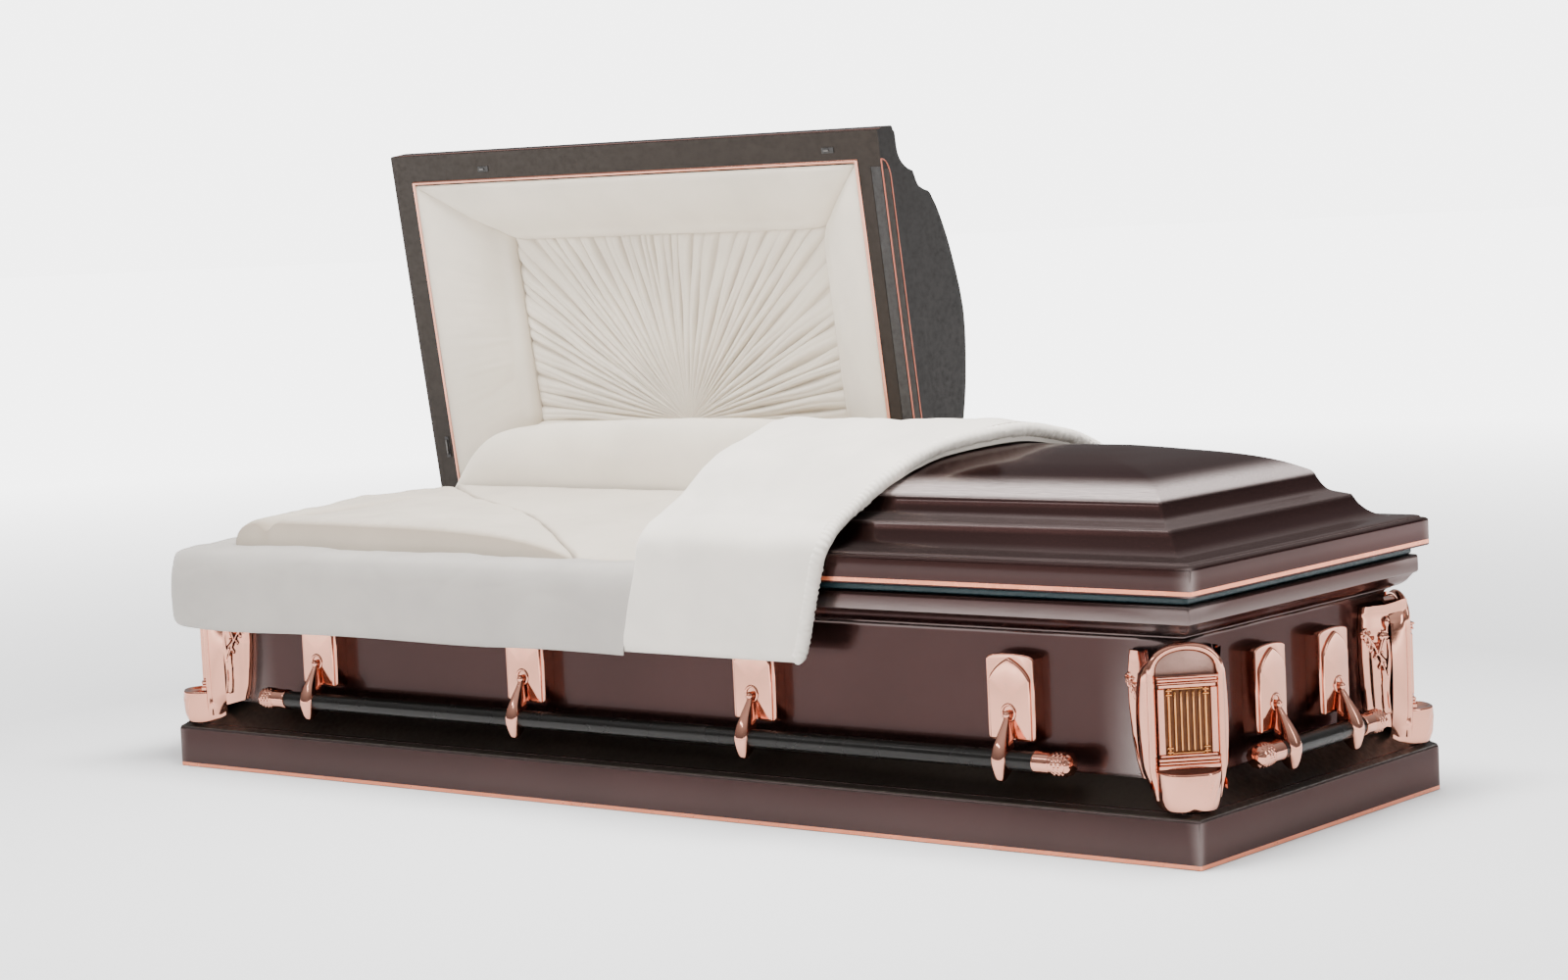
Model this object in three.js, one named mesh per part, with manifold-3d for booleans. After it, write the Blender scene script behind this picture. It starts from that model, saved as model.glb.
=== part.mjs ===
// Funeral casket with a split lid, the head half open and the foot half closed.
// Millimetres, +Z up. The origin is the centre of the base's underside, +X is the
// foot end, -Y is the front and +Y the hinge side.
import * as THREE from "three";
import Module from "manifold-3d";

const wasm = await Module();
wasm.setup();

// Overall sizes
const LENGTH = 2130;
const WIDTH = 700;
const SHEET = 1.5; // steel sheet of the body and the lids
const FLOOR = 2; // bottom sheet
const GAP = 0.3; // left between pieces that touch

// Body: inset from the base's outline, and height, from the base edge to the rim
const BODY_PROFILE = [
  [0, 0], [0, 71], [6, 74], [6, 78], [12, 80], [24, 84], [36, 91], [46, 100],
  [53, 108], [57, 116], [57, 316], [50, 321], [40, 325], [30, 333], [22, 338],
  [17, 344], [17, 366], [20, 370],
];
const WALL_INSET = 57;
const RIM_Z = 370;
const RIM_INNER_INSET = 78;

// Gasket on the rim
const GASKET_INSET = 24;
const GASKET_WIDTH = 16;

// Lids: inset from the flange's face, and height over the flange's lower edge
const LID_PROFILE = [
  [0, 0], [0, 41], [4, 45], [15, 48], [38, 48], [50, 51], [62, 57], [74, 68],
  [84, 82], [87, 86], [106, 93], [112, 98], [124, 117], [130, 125], [138, 131],
  [160, 142], [191, 153], [222, 162], [254, 169], [280, 174], [340, 181],
];
const LID_INSET = 4; // flange's face from the base's outline
const LID_Z = 383;
const SPLIT_X = 98.5;
const SPLIT_GAP = 3;
const LID_BORDER = 55; // return frame round the lid's mouth
const LID_OPEN_DEG = 82.1;
const HINGE_Y = WIDTH / 2 - LID_INSET;

// Lid linings: border side and panel side of the padded slopes
const LINING_EDGE = { end: 52, cut: 51, hinge: 55, front: 57 };
const LINING_PANEL = { end: 210, cut: 201, hinge: 160, front: 173 };
const LINING_DEPTH = 92;
const LINING_THICK = 9;

// Bedding
const BED_HEAD_TOP = 368;
const BED_FOOT_TOP = 335;
const BED_HALF_WIDTH = 268;
const BED_HALF_LENGTH = 985;

// Swing bars
const PIVOT_INSET = 30;
const PIVOT_Z = 196;
const BAR_DROP = 62; // bar's centre under the pivot
const BAR_OUT = 20; // and out from it, because the arms rest leaning outwards
const BAR_RADIUS = 14.5;
const ARM_THICK = 12;
const LUG_BOTTOM = 157;
const LUG_WIDTH = 84;
const LUG_HEIGHT = 130;
const LUG_DEPTH = 26;
const TIP_LENGTH = 67;
const SIDE_BAR_HALF = 852; // to the end of the tips
const END_BAR_HALF = 185;
const SIDE_LUG_X = [-727.5, -242.5, 242.5, 727.5];
const END_LUG_Y = [-91.5, 91.5];

// Corner castings, measured out from the corner of the body's wall
const CORNER_FACE = 31; // x + y of the casting's slanting face plane
const CORNER_FACE_HALF = 52;
const CORNER_TOP = 314;
const CORNER_SPRING = 272; // where the face's arched top begins
const COLUMN_WIDTH = 88;
const COLUMN_BOTTOM = 137;
const COLUMN_HEIGHT = 133;

const paint = new THREE.MeshStandardMaterial({ color: 0x4a2a28, metalness: 0.7, roughness: 0.35 });
const copper = new THREE.MeshStandardMaterial({ color: 0xd99a83, metalness: 1, roughness: 0.25 });
const gold = new THREE.MeshStandardMaterial({ color: 0xb9914e, metalness: 1, roughness: 0.3 });
const black = new THREE.MeshStandardMaterial({ color: 0x191414, metalness: 0.6, roughness: 0.25 });
const cloth = new THREE.MeshStandardMaterial({ color: 0xe8e3da, roughness: 0.7 });
const seal = new THREE.MeshStandardMaterial({ color: 0x12282c, roughness: 0.7 });

const root = new THREE.Group();

// Solids

function solid(geometry) {
  const plain = geometry.index ? geometry.toNonIndexed() : geometry;
  const at = plain.getAttribute("position");
  const keys = new Map();
  const vertices = [];
  const triangles = [];
  for (let i = 0; i < at.count; i++) {
    const p = [at.getX(i), at.getY(i), at.getZ(i)];
    const key = p.map((v) => Math.round(v * 1e4)).join();
    if (!keys.has(key)) {
      keys.set(key, keys.size);
      vertices.push(...p);
    }
    triangles.push(keys.get(key));
  }
  const kept = [];
  for (let i = 0; i < triangles.length; i += 3) {
    const [a, b, c] = triangles.slice(i, i + 3);
    if (a !== b && b !== c && c !== a) kept.push(a, b, c);
  }
  return new wasm.Manifold(
    new wasm.Mesh({
      numProp: 3,
      vertProperties: new Float32Array(vertices),
      triVerts: new Uint32Array(kept),
    }),
  );
}

function meshOf(name, body, material) {
  const made = body.getMesh();
  const step = made.numProp;
  const vertices = new Float32Array(made.numVert * 3);
  for (let i = 0; i < made.numVert; i++) {
    for (let k = 0; k < 3; k++) vertices[3 * i + k] = made.vertProperties[step * i + k];
  }
  const geometry = new THREE.BufferGeometry();
  geometry.setAttribute("position", new THREE.BufferAttribute(vertices, 3));
  geometry.setIndex(new THREE.BufferAttribute(new Uint32Array(made.triVerts), 1));
  const mesh = new THREE.Mesh(geometry, material.clone());
  mesh.name = name;
  return mesh;
}

// A solid through rings of points. Each ring runs anticlockwise seen from the end
// that the list of rings leads to.
function loft(rings) {
  const count = rings[0].length;
  const points = rings.flat();
  const faces = [];
  for (let i = 1; i < count - 1; i++) {
    const last = (rings.length - 1) * count;
    faces.push(0, i + 1, i, last, last + i, last + i + 1);
  }
  for (let r = 0; r < rings.length - 1; r++) {
    for (let i = 0; i < count; i++) {
      const a = r * count + i;
      const b = r * count + ((i + 1) % count);
      faces.push(a, b, b + count, a, b + count, a + count);
    }
  }
  return new wasm.Manifold(
    new wasm.Mesh({
      numProp: 3,
      vertProperties: new Float32Array(points.flat()),
      triVerts: new Uint32Array(faces),
    }),
  );
}

function rect(x0, x1, y0, y1, z) {
  return [[x0, y0, z], [x1, y0, z], [x1, y1, z], [x0, y1, z]];
}

function box(x0, x1, y0, y1, z0, z1) {
  return loft([rect(x0, x1, y0, y1, z0), rect(x0, x1, y0, y1, z1)]);
}

function extrude(points, depth, holes = []) {
  const shape = new THREE.Shape(points.map(([x, y]) => new THREE.Vector2(x, y)));
  for (const hole of holes) {
    shape.holes.push(new THREE.Path(hole.map(([x, y]) => new THREE.Vector2(x, y))));
  }
  return solid(new THREE.ExtrudeGeometry(shape, { depth, bevelEnabled: false }));
}

function circle(cx, cy, radius, steps) {
  const points = [];
  for (let i = 0; i < steps; i++) {
    const angle = (2 * Math.PI * i) / steps;
    points.push([cx + radius * Math.cos(angle), cy + radius * Math.sin(angle)]);
  }
  return points;
}

// Outline drawn tight round a set of points
function hull(points) {
  const sorted = [...points].sort((p, q) => p[0] - q[0] || p[1] - q[1]);
  const turn = (o, p, q) => (p[0] - o[0]) * (q[1] - o[1]) - (p[1] - o[1]) * (q[0] - o[0]);
  const half = (list) => {
    const kept = [];
    for (const p of list) {
      while (kept.length > 1 && turn(kept.at(-2), kept.at(-1), p) <= 1e-6) kept.pop();
      kept.push(p);
    }
    kept.pop();
    return kept;
  };
  return [...half(sorted), ...half(sorted.reverse())];
}

// A profile moved inwards by the sheet's thickness
function inward(profile, by) {
  const normals = [];
  for (let i = 0; i < profile.length - 1; i++) {
    const dx = profile[i + 1][0] - profile[i][0];
    const dz = profile[i + 1][1] - profile[i][1];
    const long = Math.hypot(dx, dz);
    normals.push([dz / long, -dx / long]);
  }
  return profile.map(([d, z], i) => {
    const a = normals[Math.max(i - 1, 0)];
    const b = normals[Math.min(i, normals.length - 1)];
    const scale = by / (1 + a[0] * b[0] + a[1] * b[1]);
    return [d + (a[0] + b[0]) * scale, z + (a[1] + b[1]) * scale];
  });
}

// Body

function insetRect(d, z) {
  return rect(-LENGTH / 2 + d, LENGTH / 2 - d, -WIDTH / 2 + d, WIDTH / 2 - d, z);
}

function makeShell() {
  const outer = loft(BODY_PROFILE.map(([d, z]) => insetRect(d, z)));
  const sheet = inward(BODY_PROFILE, SHEET).slice(1, -1);
  const inside = [insetRect(SHEET, FLOOR)];
  for (const [d, z] of sheet) inside.push(insetRect(d, z));
  const under = RIM_Z - SHEET;
  inside.push(insetRect(BODY_PROFILE.at(-2)[0] + SHEET + 1, under));
  inside.push(insetRect(RIM_INNER_INSET, under));
  inside.push(insetRect(RIM_INNER_INSET, RIM_Z + 1));
  root.add(meshOf("shell", outer.subtract(loft(inside)), paint));
}

function makeGasket() {
  const low = RIM_Z + GAP;
  const high = LID_Z - GAP;
  const outer = loft([insetRect(GASKET_INSET, low), insetRect(GASKET_INSET, high)]);
  const far = GASKET_INSET + GASKET_WIDTH;
  const inner = loft([insetRect(far, low - 1), insetRect(far, high + 1)]);
  root.add(meshOf("gasket", outer.subtract(inner), seal));
}

// Lids. Built closed about the hinge line, which is the flange's lower back edge.

function lidGroup(angle) {
  const group = new THREE.Group();
  group.position.set(0, HINGE_Y, LID_Z);
  group.rotation.x = THREE.MathUtils.degToRad(-angle);
  root.add(group);
  return group;
}

// Rectangle inside a lid: end, cut, hinge and front are the insets of its sides
function lidRect(head, inset, z) {
  const far = LENGTH / 2 - LID_INSET;
  const cut = SPLIT_X + (head ? -SPLIT_GAP / 2 : SPLIT_GAP / 2);
  const y0 = -2 * HINGE_Y + inset.front;
  const y1 = -inset.hinge;
  if (head) return rect(-far + inset.end, cut - inset.cut, y0, y1, z);
  return rect(cut + inset.cut, far - inset.end, y0, y1, z);
}

function evenInset(d, cut) {
  return { end: d, cut, hinge: d, front: d };
}

function makeLid(name, head, group) {
  const outer = loft(LID_PROFILE.map(([d, z]) => lidRect(head, evenInset(d, 0), z)));
  const mouth = evenInset(LID_BORDER, LID_BORDER);
  const inside = [lidRect(head, mouth, -1), lidRect(head, mouth, SHEET)];
  inside.push(lidRect(head, evenInset(SHEET, SHEET), SHEET));
  for (const [d, z] of inward(LID_PROFILE, SHEET).slice(1)) {
    inside.push(lidRect(head, evenInset(d, SHEET), z));
  }
  group.add(meshOf(name, outer.subtract(loft(inside)), paint));
}

function grown(inset, by) {
  return Object.fromEntries(Object.entries(inset).map(([side, d]) => [side, d + by]));
}

function makeHeadLining(group) {
  const low = SHEET + GAP;
  const outer = loft([
    lidRect(true, grown(LINING_EDGE, -LINING_THICK), low),
    lidRect(true, grown(LINING_PANEL, -LINING_THICK), LINING_DEPTH + LINING_THICK),
  ]);
  const inner = loft([
    lidRect(true, grown(LINING_EDGE, 3), low - 1),
    lidRect(true, LINING_PANEL, LINING_DEPTH),
    lidRect(true, LINING_PANEL, LINING_DEPTH + 2 * LINING_THICK),
  ]);
  group.add(meshOf("head_lid_lining", outer.subtract(inner), cloth));
}

function makeSunburst(group) {
  const edge = grown(LINING_PANEL, GAP);
  const panel = loft([
    lidRect(true, edge, LINING_DEPTH - 2),
    lidRect(true, edge, LINING_DEPTH + LINING_THICK - 1),
  ]);
  group.add(meshOf("sunburst_panel", panel, cloth));
}

function makeTrim(group) {
  const inner = evenInset(LID_BORDER + 1, LID_BORDER + 1);
  const bead = loft([lidRect(true, grown(inner, -7), -2.5), lidRect(true, grown(inner, -7), -GAP)]);
  const hole = loft([lidRect(true, inner, -4), lidRect(true, inner, 1)]);
  group.add(meshOf("head_lid_trim", bead.subtract(hole), copper));
}

function makeFootLining(group) {
  const low = SHEET + GAP;
  const outer = loft([
    lidRect(false, grown(LINING_EDGE, -LINING_THICK), low),
    lidRect(false, grown(LINING_PANEL, -LINING_THICK), LINING_DEPTH + LINING_THICK),
  ]);
  const inner = loft([
    lidRect(false, grown(LINING_EDGE, 3), low - 1),
    lidRect(false, LINING_PANEL, LINING_DEPTH),
  ]);
  group.add(meshOf("foot_lid_lining", outer.subtract(inner), cloth));
}

// Throw over the foot lid. Stations from the front hem to the back: inset and height
// of the lid's face under the cloth, outward direction, left edge, right edge and
// thickness.
const THROW_OFF = 2;
const THROW_RUN = [
  [0, -125, -1, 0, 8, 376, 19], [0, -60, -1, 0, 28, 398, 19], [0, -5, -1, 0, 48, 416, 20],
  [0, 36, -0.97, 0.24, 58, 432, 21], [1, 42, -0.75, 0.66, 59, 433, 21],
  [15, 48, -0.3, 0.95, 60, 432, 22], [38, 48, -0.3, 0.95, 60, 425, 23],
  [87, 86, -0.58, 0.81, 64, 430, 25], [130, 125, -0.58, 0.81, 68, 453, 27],
  [138, 131, -0.5, 0.87, 69, 456, 28], [160, 142, -0.4, 0.92, 70, 462, 29],
  [191, 153, -0.3, 0.95, 72, 467, 30], [254, 169, -0.15, 0.99, 72, 485, 32],
  [346, 182, 0, 1, 64, 548, 34], [438, 169, 0.15, 0.99, 60, 562, 32],
  [501, 153, 0.3, 0.95, 60, 566, 29], [554, 131, 0.5, 0.87, 60, 566, 25],
  [562, 125, 0.58, 0.81, 60, 566, 24], [605, 86, 0.58, 0.81, 60, 566, 20],
];

function makeThrow(group) {
  const rings = THROW_RUN.map(([d, z, ny, nz, left, right, thick]) => {
    const far = THROW_OFF + thick;
    const low = [d - 2 * HINGE_Y + ny * THROW_OFF, z + nz * THROW_OFF];
    const high = [d - 2 * HINGE_Y + ny * far, z + nz * far];
    return [[left, ...high], [right, ...high], [right, ...low], [left, ...low]];
  });
  group.add(meshOf("throw", loft(rings), cloth));
}

// Bedding

function makeMattress() {
  const side = [
    [-BED_HALF_LENGTH, FLOOR + GAP], [BED_HALF_LENGTH, FLOOR + GAP],
    [BED_HALF_LENGTH, BED_FOOT_TOP], [260, BED_FOOT_TOP], [110, BED_HEAD_TOP],
    [-BED_HALF_LENGTH, BED_HEAD_TOP],
  ];
  const block = extrude(side, 2 * BED_HALF_WIDTH).rotate([90, 0, 0]);
  root.add(meshOf("mattress", block.translate([0, BED_HALF_WIDTH, 0]), cloth));
}

// The line between the pillow and the bed cover, from the back to the front
const SEAM = [[-900, 232], [-783, 144], [-555, 36], [-358, -106], [-164, -262]];
const BED_BACK = 232;

function makeBedCover() {
  const edge = SEAM.map(([x, y]) => [x + GAP, y]);
  const outline = [...edge, [100, -262], [100, BED_BACK]];
  const low = BED_HEAD_TOP + GAP;
  const top = (y) => 388 + (62 * (y + 262)) / (BED_BACK + 262);
  const rings = [outline.map(([x, y]) => [x, y, low]), outline.map(([x, y]) => [x, y, top(y)])];
  root.add(meshOf("bed_cover", loftFlat(rings), cloth));
}

function makePillow() {
  const edge = [...SEAM].reverse().map(([x, y]) => [x - GAP, y]);
  const outline = [[-980, -262], ...edge, [-980, BED_BACK]];
  const low = BED_HEAD_TOP + GAP;
  const inner = outline.map(([x, y]) => [x + (-700 - x) * 0.16, y * 0.8 - 8]);
  const rings = [
    outline.map(([x, y]) => [x, y, low]),
    outline.map(([x, y]) => [x, y, 392 + (50 * (y + 262)) / 494]),
    inner.map(([x, y]) => [x, y, 436 + (20 * (y + 262)) / 494]),
  ];
  root.add(meshOf("pillow", loftFlat(rings), cloth));
}

// A loft whose end faces need not be convex
function loftFlat(rings) {
  const count = rings[0].length;
  const flat = rings[0].map(([x, y]) => new THREE.Vector2(x, y));
  const caps = THREE.ShapeUtils.triangulateShape(flat, []);
  const turned = THREE.ShapeUtils.isClockWise(flat);
  const ordered = turned ? rings.map((ring) => [...ring].reverse()) : rings;
  const faces = [];
  const last = (rings.length - 1) * count;
  const index = (i) => (turned ? count - 1 - i : i);
  for (const [a, b, c] of caps) {
    const t = [index(a), index(b), index(c)];
    const up = area(t.map((i) => ordered[0][i])) > 0 ? t : [t[0], t[2], t[1]];
    faces.push(up[0], up[2], up[1], last + up[0], last + up[1], last + up[2]);
  }
  for (let r = 0; r < rings.length - 1; r++) {
    for (let i = 0; i < count; i++) {
      const a = r * count + i;
      const b = r * count + ((i + 1) % count);
      faces.push(a, b, b + count, a, b + count, a + count);
    }
  }
  return new wasm.Manifold(
    new wasm.Mesh({
      numProp: 3,
      vertProperties: new Float32Array(ordered.flat(2)),
      triVerts: new Uint32Array(faces),
    }),
  );
}

function area([a, b, c]) {
  return (b[0] - a[0]) * (c[1] - a[1]) - (b[1] - a[1]) * (c[0] - a[0]);
}

// Padded skirt over the front rim of the head half and the head end
const SKIRT_RIGHT = 2; // at the hem; the end slants beside the throw's edge
const SKIRT_RIGHT_TOP = 50;
const SKIRT_BOTTOM = 257;
const SKIRT_TOP = 398;
const SKIRT_FRONT = -372;
const SKIRT_END = -1078;
const SKIRT_CORNER = 59;
const SKIRT_THICK = 12;

function skirtOutline(inset, right, back) {
  const points = [[right, SKIRT_FRONT + inset], [right, 0], [SKIRT_END + 200, 0], [SKIRT_END + 200, back]];
  points.push([SKIRT_END + inset, back]);
  const radius = SKIRT_CORNER - inset;
  const cx = SKIRT_END + SKIRT_CORNER;
  const cy = SKIRT_FRONT + SKIRT_CORNER;
  for (let i = 0; i <= 6; i++) {
    const angle = Math.PI + (Math.PI / 2) * (i / 6);
    points.push([cx + radius * Math.cos(angle), cy + radius * Math.sin(angle)]);
  }
  return points;
}

function makeExtendover() {
  const back = 296;
  const right = SKIRT_RIGHT_TOP;
  const body = extrude(skirtOutline(0, right, back), SKIRT_TOP - SKIRT_BOTTOM);
  const skirt = body.translate([0, 0, SKIRT_BOTTOM]);
  const hollow = extrude(skirtOutline(SKIRT_THICK, right + 1, back + 1), 200);
  const below = hollow.translate([0, 0, LID_Z + 0.5 - 200]);
  const inner = box(SKIRT_END + 96, right + 1, -264, back + 1, SKIRT_BOTTOM, SKIRT_TOP + 1);
  const wedge = [
    [SKIRT_RIGHT, SKIRT_BOTTOM - 1], [right + 9, SKIRT_BOTTOM - 1], [right + 9, SKIRT_TOP + 9],
    [right + 2, SKIRT_TOP + 9],
  ];
  const end = extrude(wedge, 300).rotate([90, 0, 0]).translate([0, -100, 0]);
  const cut = skirt.subtract(below).subtract(inner).subtract(end);
  root.add(meshOf("extendover", cut, cloth));
}

// Long roll at the back of the bed. Stations: x, height of its top.
const ROLL_RUN = [
  [-955, 430], [-925, 472], [-890, 515], [-830, 548], [-700, 564], [-500, 571], [-330, 575],
  [-60, 571], [0, 548],
];

function makeBackRoll() {
  const rings = ROLL_RUN.map(([x, top]) => {
    const low = LID_Z + 0.5;
    const mid = (low + top) / 2;
    return circle(0, 0, 1, 10).map(([a, b]) => [x, 283 + 38 * a, mid + ((top - low) / 2) * b]);
  });
  root.add(meshOf("back_roll", loft(rings), cloth));
}

// Swing-bar hardware. Drawn for the front: x along the wall, y outwards, z up, and
// turned about Z for the other sides.

function sideGroup(turn) {
  const group = new THREE.Group();
  group.rotation.z = THREE.MathUtils.degToRad(turn);
  root.add(group);
  return group;
}

function gothicArch(halfWidth, foot, spring, top) {
  const left = [];
  const right = [];
  for (let i = 0; i <= 5; i++) {
    const t = i / 5;
    const x = halfWidth * (1 - t * t);
    const y = spring + (top - spring) * Math.sin((Math.PI / 2) * t) * (0.85 + 0.15 * t);
    right.push([x, y]);
    if (i < 5) left.unshift([-x, y]);
  }
  return [[halfWidth, foot], ...right, ...left, [-halfWidth, foot]];
}

function lugOutline() {
  const half = LUG_WIDTH / 2;
  const points = [[-half + 5, 0], [half - 5, 0], [half, 5]];
  for (let i = 0; i <= 8; i++) {
    const x = half - (2 * half * i) / 8;
    points.push([x, LUG_HEIGHT - 5 * (x / half) ** 2 - 3 * (x / half) ** 8]);
  }
  points.push([-half, 5]);
  return points;
}

function lugSolid() {
  const plate = extrude(lugOutline(), LUG_DEPTH - 2);
  const rimOuter = gothicArch(33, 14, 72, 120);
  const rimInner = gothicArch(27, 20, 70, 112);
  const rim = extrude(rimOuter, 4, [rimInner]).translate([0, 0, LUG_DEPTH - 3]);
  const field = extrude(rimInner, 8).translate([0, 0, LUG_DEPTH - 7]);
  const pivot = PIVOT_Z - LUG_BOTTOM;
  const boss = extrude(circle(0, pivot, 17, 14), LUG_DEPTH - 1);
  const slot = box(-ARM_THICK / 2 - 0.8, ARM_THICK / 2 + 0.8, -2, pivot + 13.5, 9, LUG_DEPTH + 9);
  const body = plate.add(rim).subtract(field).add(boss).subtract(slot);
  return body.rotate([90, 0, 0]);
}

function makeLug(name, group, x, half) {
  const mesh = meshOf(name, lugSolid(), copper);
  mesh.position.set(x, -half + WALL_INSET - GAP, LUG_BOTTOM);
  group.add(mesh);
}

function armSolid() {
  const outline = hull([
    ...circle(0, 0, 11, 14), ...circle(-BAR_OUT, -BAR_DROP, 19, 18),
    ...circle(-BAR_OUT - 7, -BAR_DROP - 25, 6, 10),
  ]);
  const hole = circle(-BAR_OUT, -BAR_DROP, BAR_RADIUS + 0.3, 18);
  const arm = extrude(outline, ARM_THICK, [hole]);
  return arm.translate([0, 0, -ARM_THICK / 2]).rotate([90, 0, 90]);
}

function tipSolid() {
  const profile = [
    [0, 0], [16.5, 0], [16.5, 14], [15.5, 16], [15.5, 40], [19, 44], [19, 54], [15.5, 58],
    [12, 64], [0, TIP_LENGTH],
  ];
  const lathe = new THREE.LatheGeometry(profile.map(([r, y]) => new THREE.Vector2(r, y)), 10);
  return solid(lathe).rotate([0, 0, -90]);
}

function makeBar(side, turn, half, spots, barHalf, ends) {
  const fixed = sideGroup(turn);
  const pivotY = -half + PIVOT_INSET;
  const rod = new THREE.CylinderGeometry(BAR_RADIUS, BAR_RADIUS, 2 * (barHalf - TIP_LENGTH), 20);
  rod.rotateZ(Math.PI / 2);
  const bar = meshOf("bar_" + side, solid(rod), black);
  bar.position.set(0, pivotY - BAR_OUT, PIVOT_Z - BAR_DROP);
  fixed.add(bar);
  ends.forEach((end, i) => {
    const tip = meshOf("tip_" + side + "_" + end, tipSolid(), copper);
    const sign = i === 0 ? -1 : 1;
    tip.position.set(sign * (barHalf - TIP_LENGTH + GAP), pivotY - BAR_OUT, PIVOT_Z - BAR_DROP);
    if (i === 0) tip.rotation.z = Math.PI;
    fixed.add(tip);
  });
  spots.forEach((x, i) => {
    makeLug("lug_" + side + "_" + (i + 1), fixed, x, half);
    const arm = meshOf("arm_" + side + "_" + (i + 1), armSolid(), copper);
    arm.position.set(x, pivotY, PIVOT_Z);
    fixed.add(arm);
  });
}

// Corner castings. Drawn for the front foot corner with the origin on the wall's
// corner, x and y both outwards, so that each is the same on both walls.

function cornerSolid() {
  const c = CORNER_FACE / 2;
  const h = CORNER_FACE_HALF / Math.SQRT2;
  const side = [[0, -84], [10, -84], [13, -70], [30, -56], [c + h, c - h]];
  const face = [[0, 0], ...side, ...side.map(([x, y]) => [y, x]).reverse()];
  const body = extrude(face, CORNER_TOP - 112).translate([0, 0, 112]);
  const arch = archCut();
  const wing = (swap) => {
    const run = [[-50, 0], [-50, 32], [-64, 20], [-76, 14], [-88, 12], [-88, 0]];
    const flat = swap ? run.map(([x, y]) => [y, x]) : run;
    return extrude(flat, 196).translate([0, 0, 112]);
  };
  const foot = loftFlat([
    footRing(44, 36, 78), footRing(58, 42, 88), footRing(66, 45, 104), footRing(69, 47, 127),
    footRing(60, 44, 128), footRing(40, 42, 120),
  ]);
  const casting = body.subtract(arch).add(wing(false)).add(wing(true)).add(foot);
  return casting.subtract(baseCut());
}

// The body's own outline at the corner, so that the casting's foot fits over it
function baseCut() {
  const rings = BODY_PROFILE.slice(0, 11).map(([d, z]) => {
    const out = WALL_INSET - d + GAP;
    return rect(-300, out, -300, out, z + GAP);
  });
  return loft(rings);
}

// Plan of the casting's foot: its reach out along the diagonal, and half its width
function footRing(out, half, z) {
  const at = (q, h) => [(q + h) / Math.SQRT2, (q - h) / Math.SQRT2, z];
  return [
    [1, 1, z], [1, -half - 18, z], at(out * 0.5, half), at(out * 0.87, half * 0.78),
    at(out, half * 0.35), at(out, -half * 0.35), at(out * 0.87, -half * 0.78), at(out * 0.5, -half),
    [-half - 18, 1, z],
  ];
}

// What is cut away over the arched top of the slanting face
function archCut() {
  const half = CORNER_FACE_HALF + 8;
  const points = [[-half, CORNER_SPRING - 6]];
  for (let i = 0; i <= 10; i++) {
    const x = -CORNER_FACE_HALF + (2 * CORNER_FACE_HALF * i) / 10;
    const rise = Math.sqrt(Math.max(0, 1 - (x / CORNER_FACE_HALF) ** 2));
    points.push([x, CORNER_SPRING + (CORNER_TOP - CORNER_SPRING) * rise]);
  }
  points.push([half, CORNER_SPRING - 6], [half, CORNER_TOP + 20], [-half, CORNER_TOP + 20]);
  const cut = extrude(points, 90).rotate([90, 0, 0]).translate([0, 90, 0]);
  return cut.rotate([0, 0, -45]);
}

function columnSolid() {
  const half = COLUMN_WIDTH / 2;
  let body = box(-half + 4, half - 4, 0, COLUMN_HEIGHT, 0, 4);
  body = body.add(box(-half, half, 0, 12, 0, 10)).add(box(-half + 4, half - 4, 11, 20, 0, 8));
  const top = COLUMN_HEIGHT;
  body = body.add(box(-half, half, top - 10, top, 0, 10));
  body = body.add(box(-half + 4, half - 4, top - 17, top - 9, 0, 8));
  for (let i = 0; i < 5; i++) {
    const x = -24 + 12 * i;
    body = body.add(box(x - 4, x + 4, 19, top - 16, 0, 7));
  }
  for (const side of [-1, 1]) {
    const x = side * (half - 8);
    body = body.add(box(x - 3, x + 3, 19, top - 16, 0, 8));
  }
  return body.rotate([90, 0, 0]);
}

function makeCorner(name, turn, x, y) {
  const group = new THREE.Group();
  group.position.set(x, y, 0);
  group.rotation.z = THREE.MathUtils.degToRad(turn);
  root.add(group);
  const casting = meshOf("corner_" + name, cornerSolid(), copper);
  casting.position.set(GAP, GAP, 0);
  group.add(casting);
  const column = meshOf("column_" + name, columnSolid(), gold);
  const reach = CORNER_FACE / 2 + 2 * GAP;
  column.position.set(reach, reach, COLUMN_BOTTOM);
  column.rotation.z = THREE.MathUtils.degToRad(135);
  group.add(column);
}

makeShell();
makeGasket();
makeMattress();
makeBedCover();
makePillow();
makeExtendover();
makeBackRoll();

const headLid = lidGroup(LID_OPEN_DEG);
makeLid("head_lid", true, headLid);
makeTrim(headLid);
makeHeadLining(headLid);
makeSunburst(headLid);

const footLid = lidGroup(0);
makeLid("foot_lid", false, footLid);
makeFootLining(footLid);
makeThrow(footLid);

makeBar("front", 0, WIDTH / 2, SIDE_LUG_X, SIDE_BAR_HALF, ["head", "foot"]);
makeBar("back", 180, WIDTH / 2, SIDE_LUG_X, SIDE_BAR_HALF, ["foot", "head"]);
makeBar("foot", 90, LENGTH / 2, END_LUG_Y, END_BAR_HALF, ["front", "back"]);
makeBar("head", -90, LENGTH / 2, END_LUG_Y, END_BAR_HALF, ["back", "front"]);

const cornerX = LENGTH / 2 - WALL_INSET;
const cornerY = WIDTH / 2 - WALL_INSET;
makeCorner("back_foot", 0, cornerX, cornerY);
makeCorner("back_head", 90, -cornerX, cornerY);
makeCorner("front_head", 180, -cornerX, -cornerY);
makeCorner("front_foot", 270, cornerX, -cornerY);

export default root;
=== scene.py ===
import math
from math import cos, pi, radians, sin, sqrt

import bmesh
import bpy
import numpy as np
from mathutils import Matrix, Vector, noise


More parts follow.
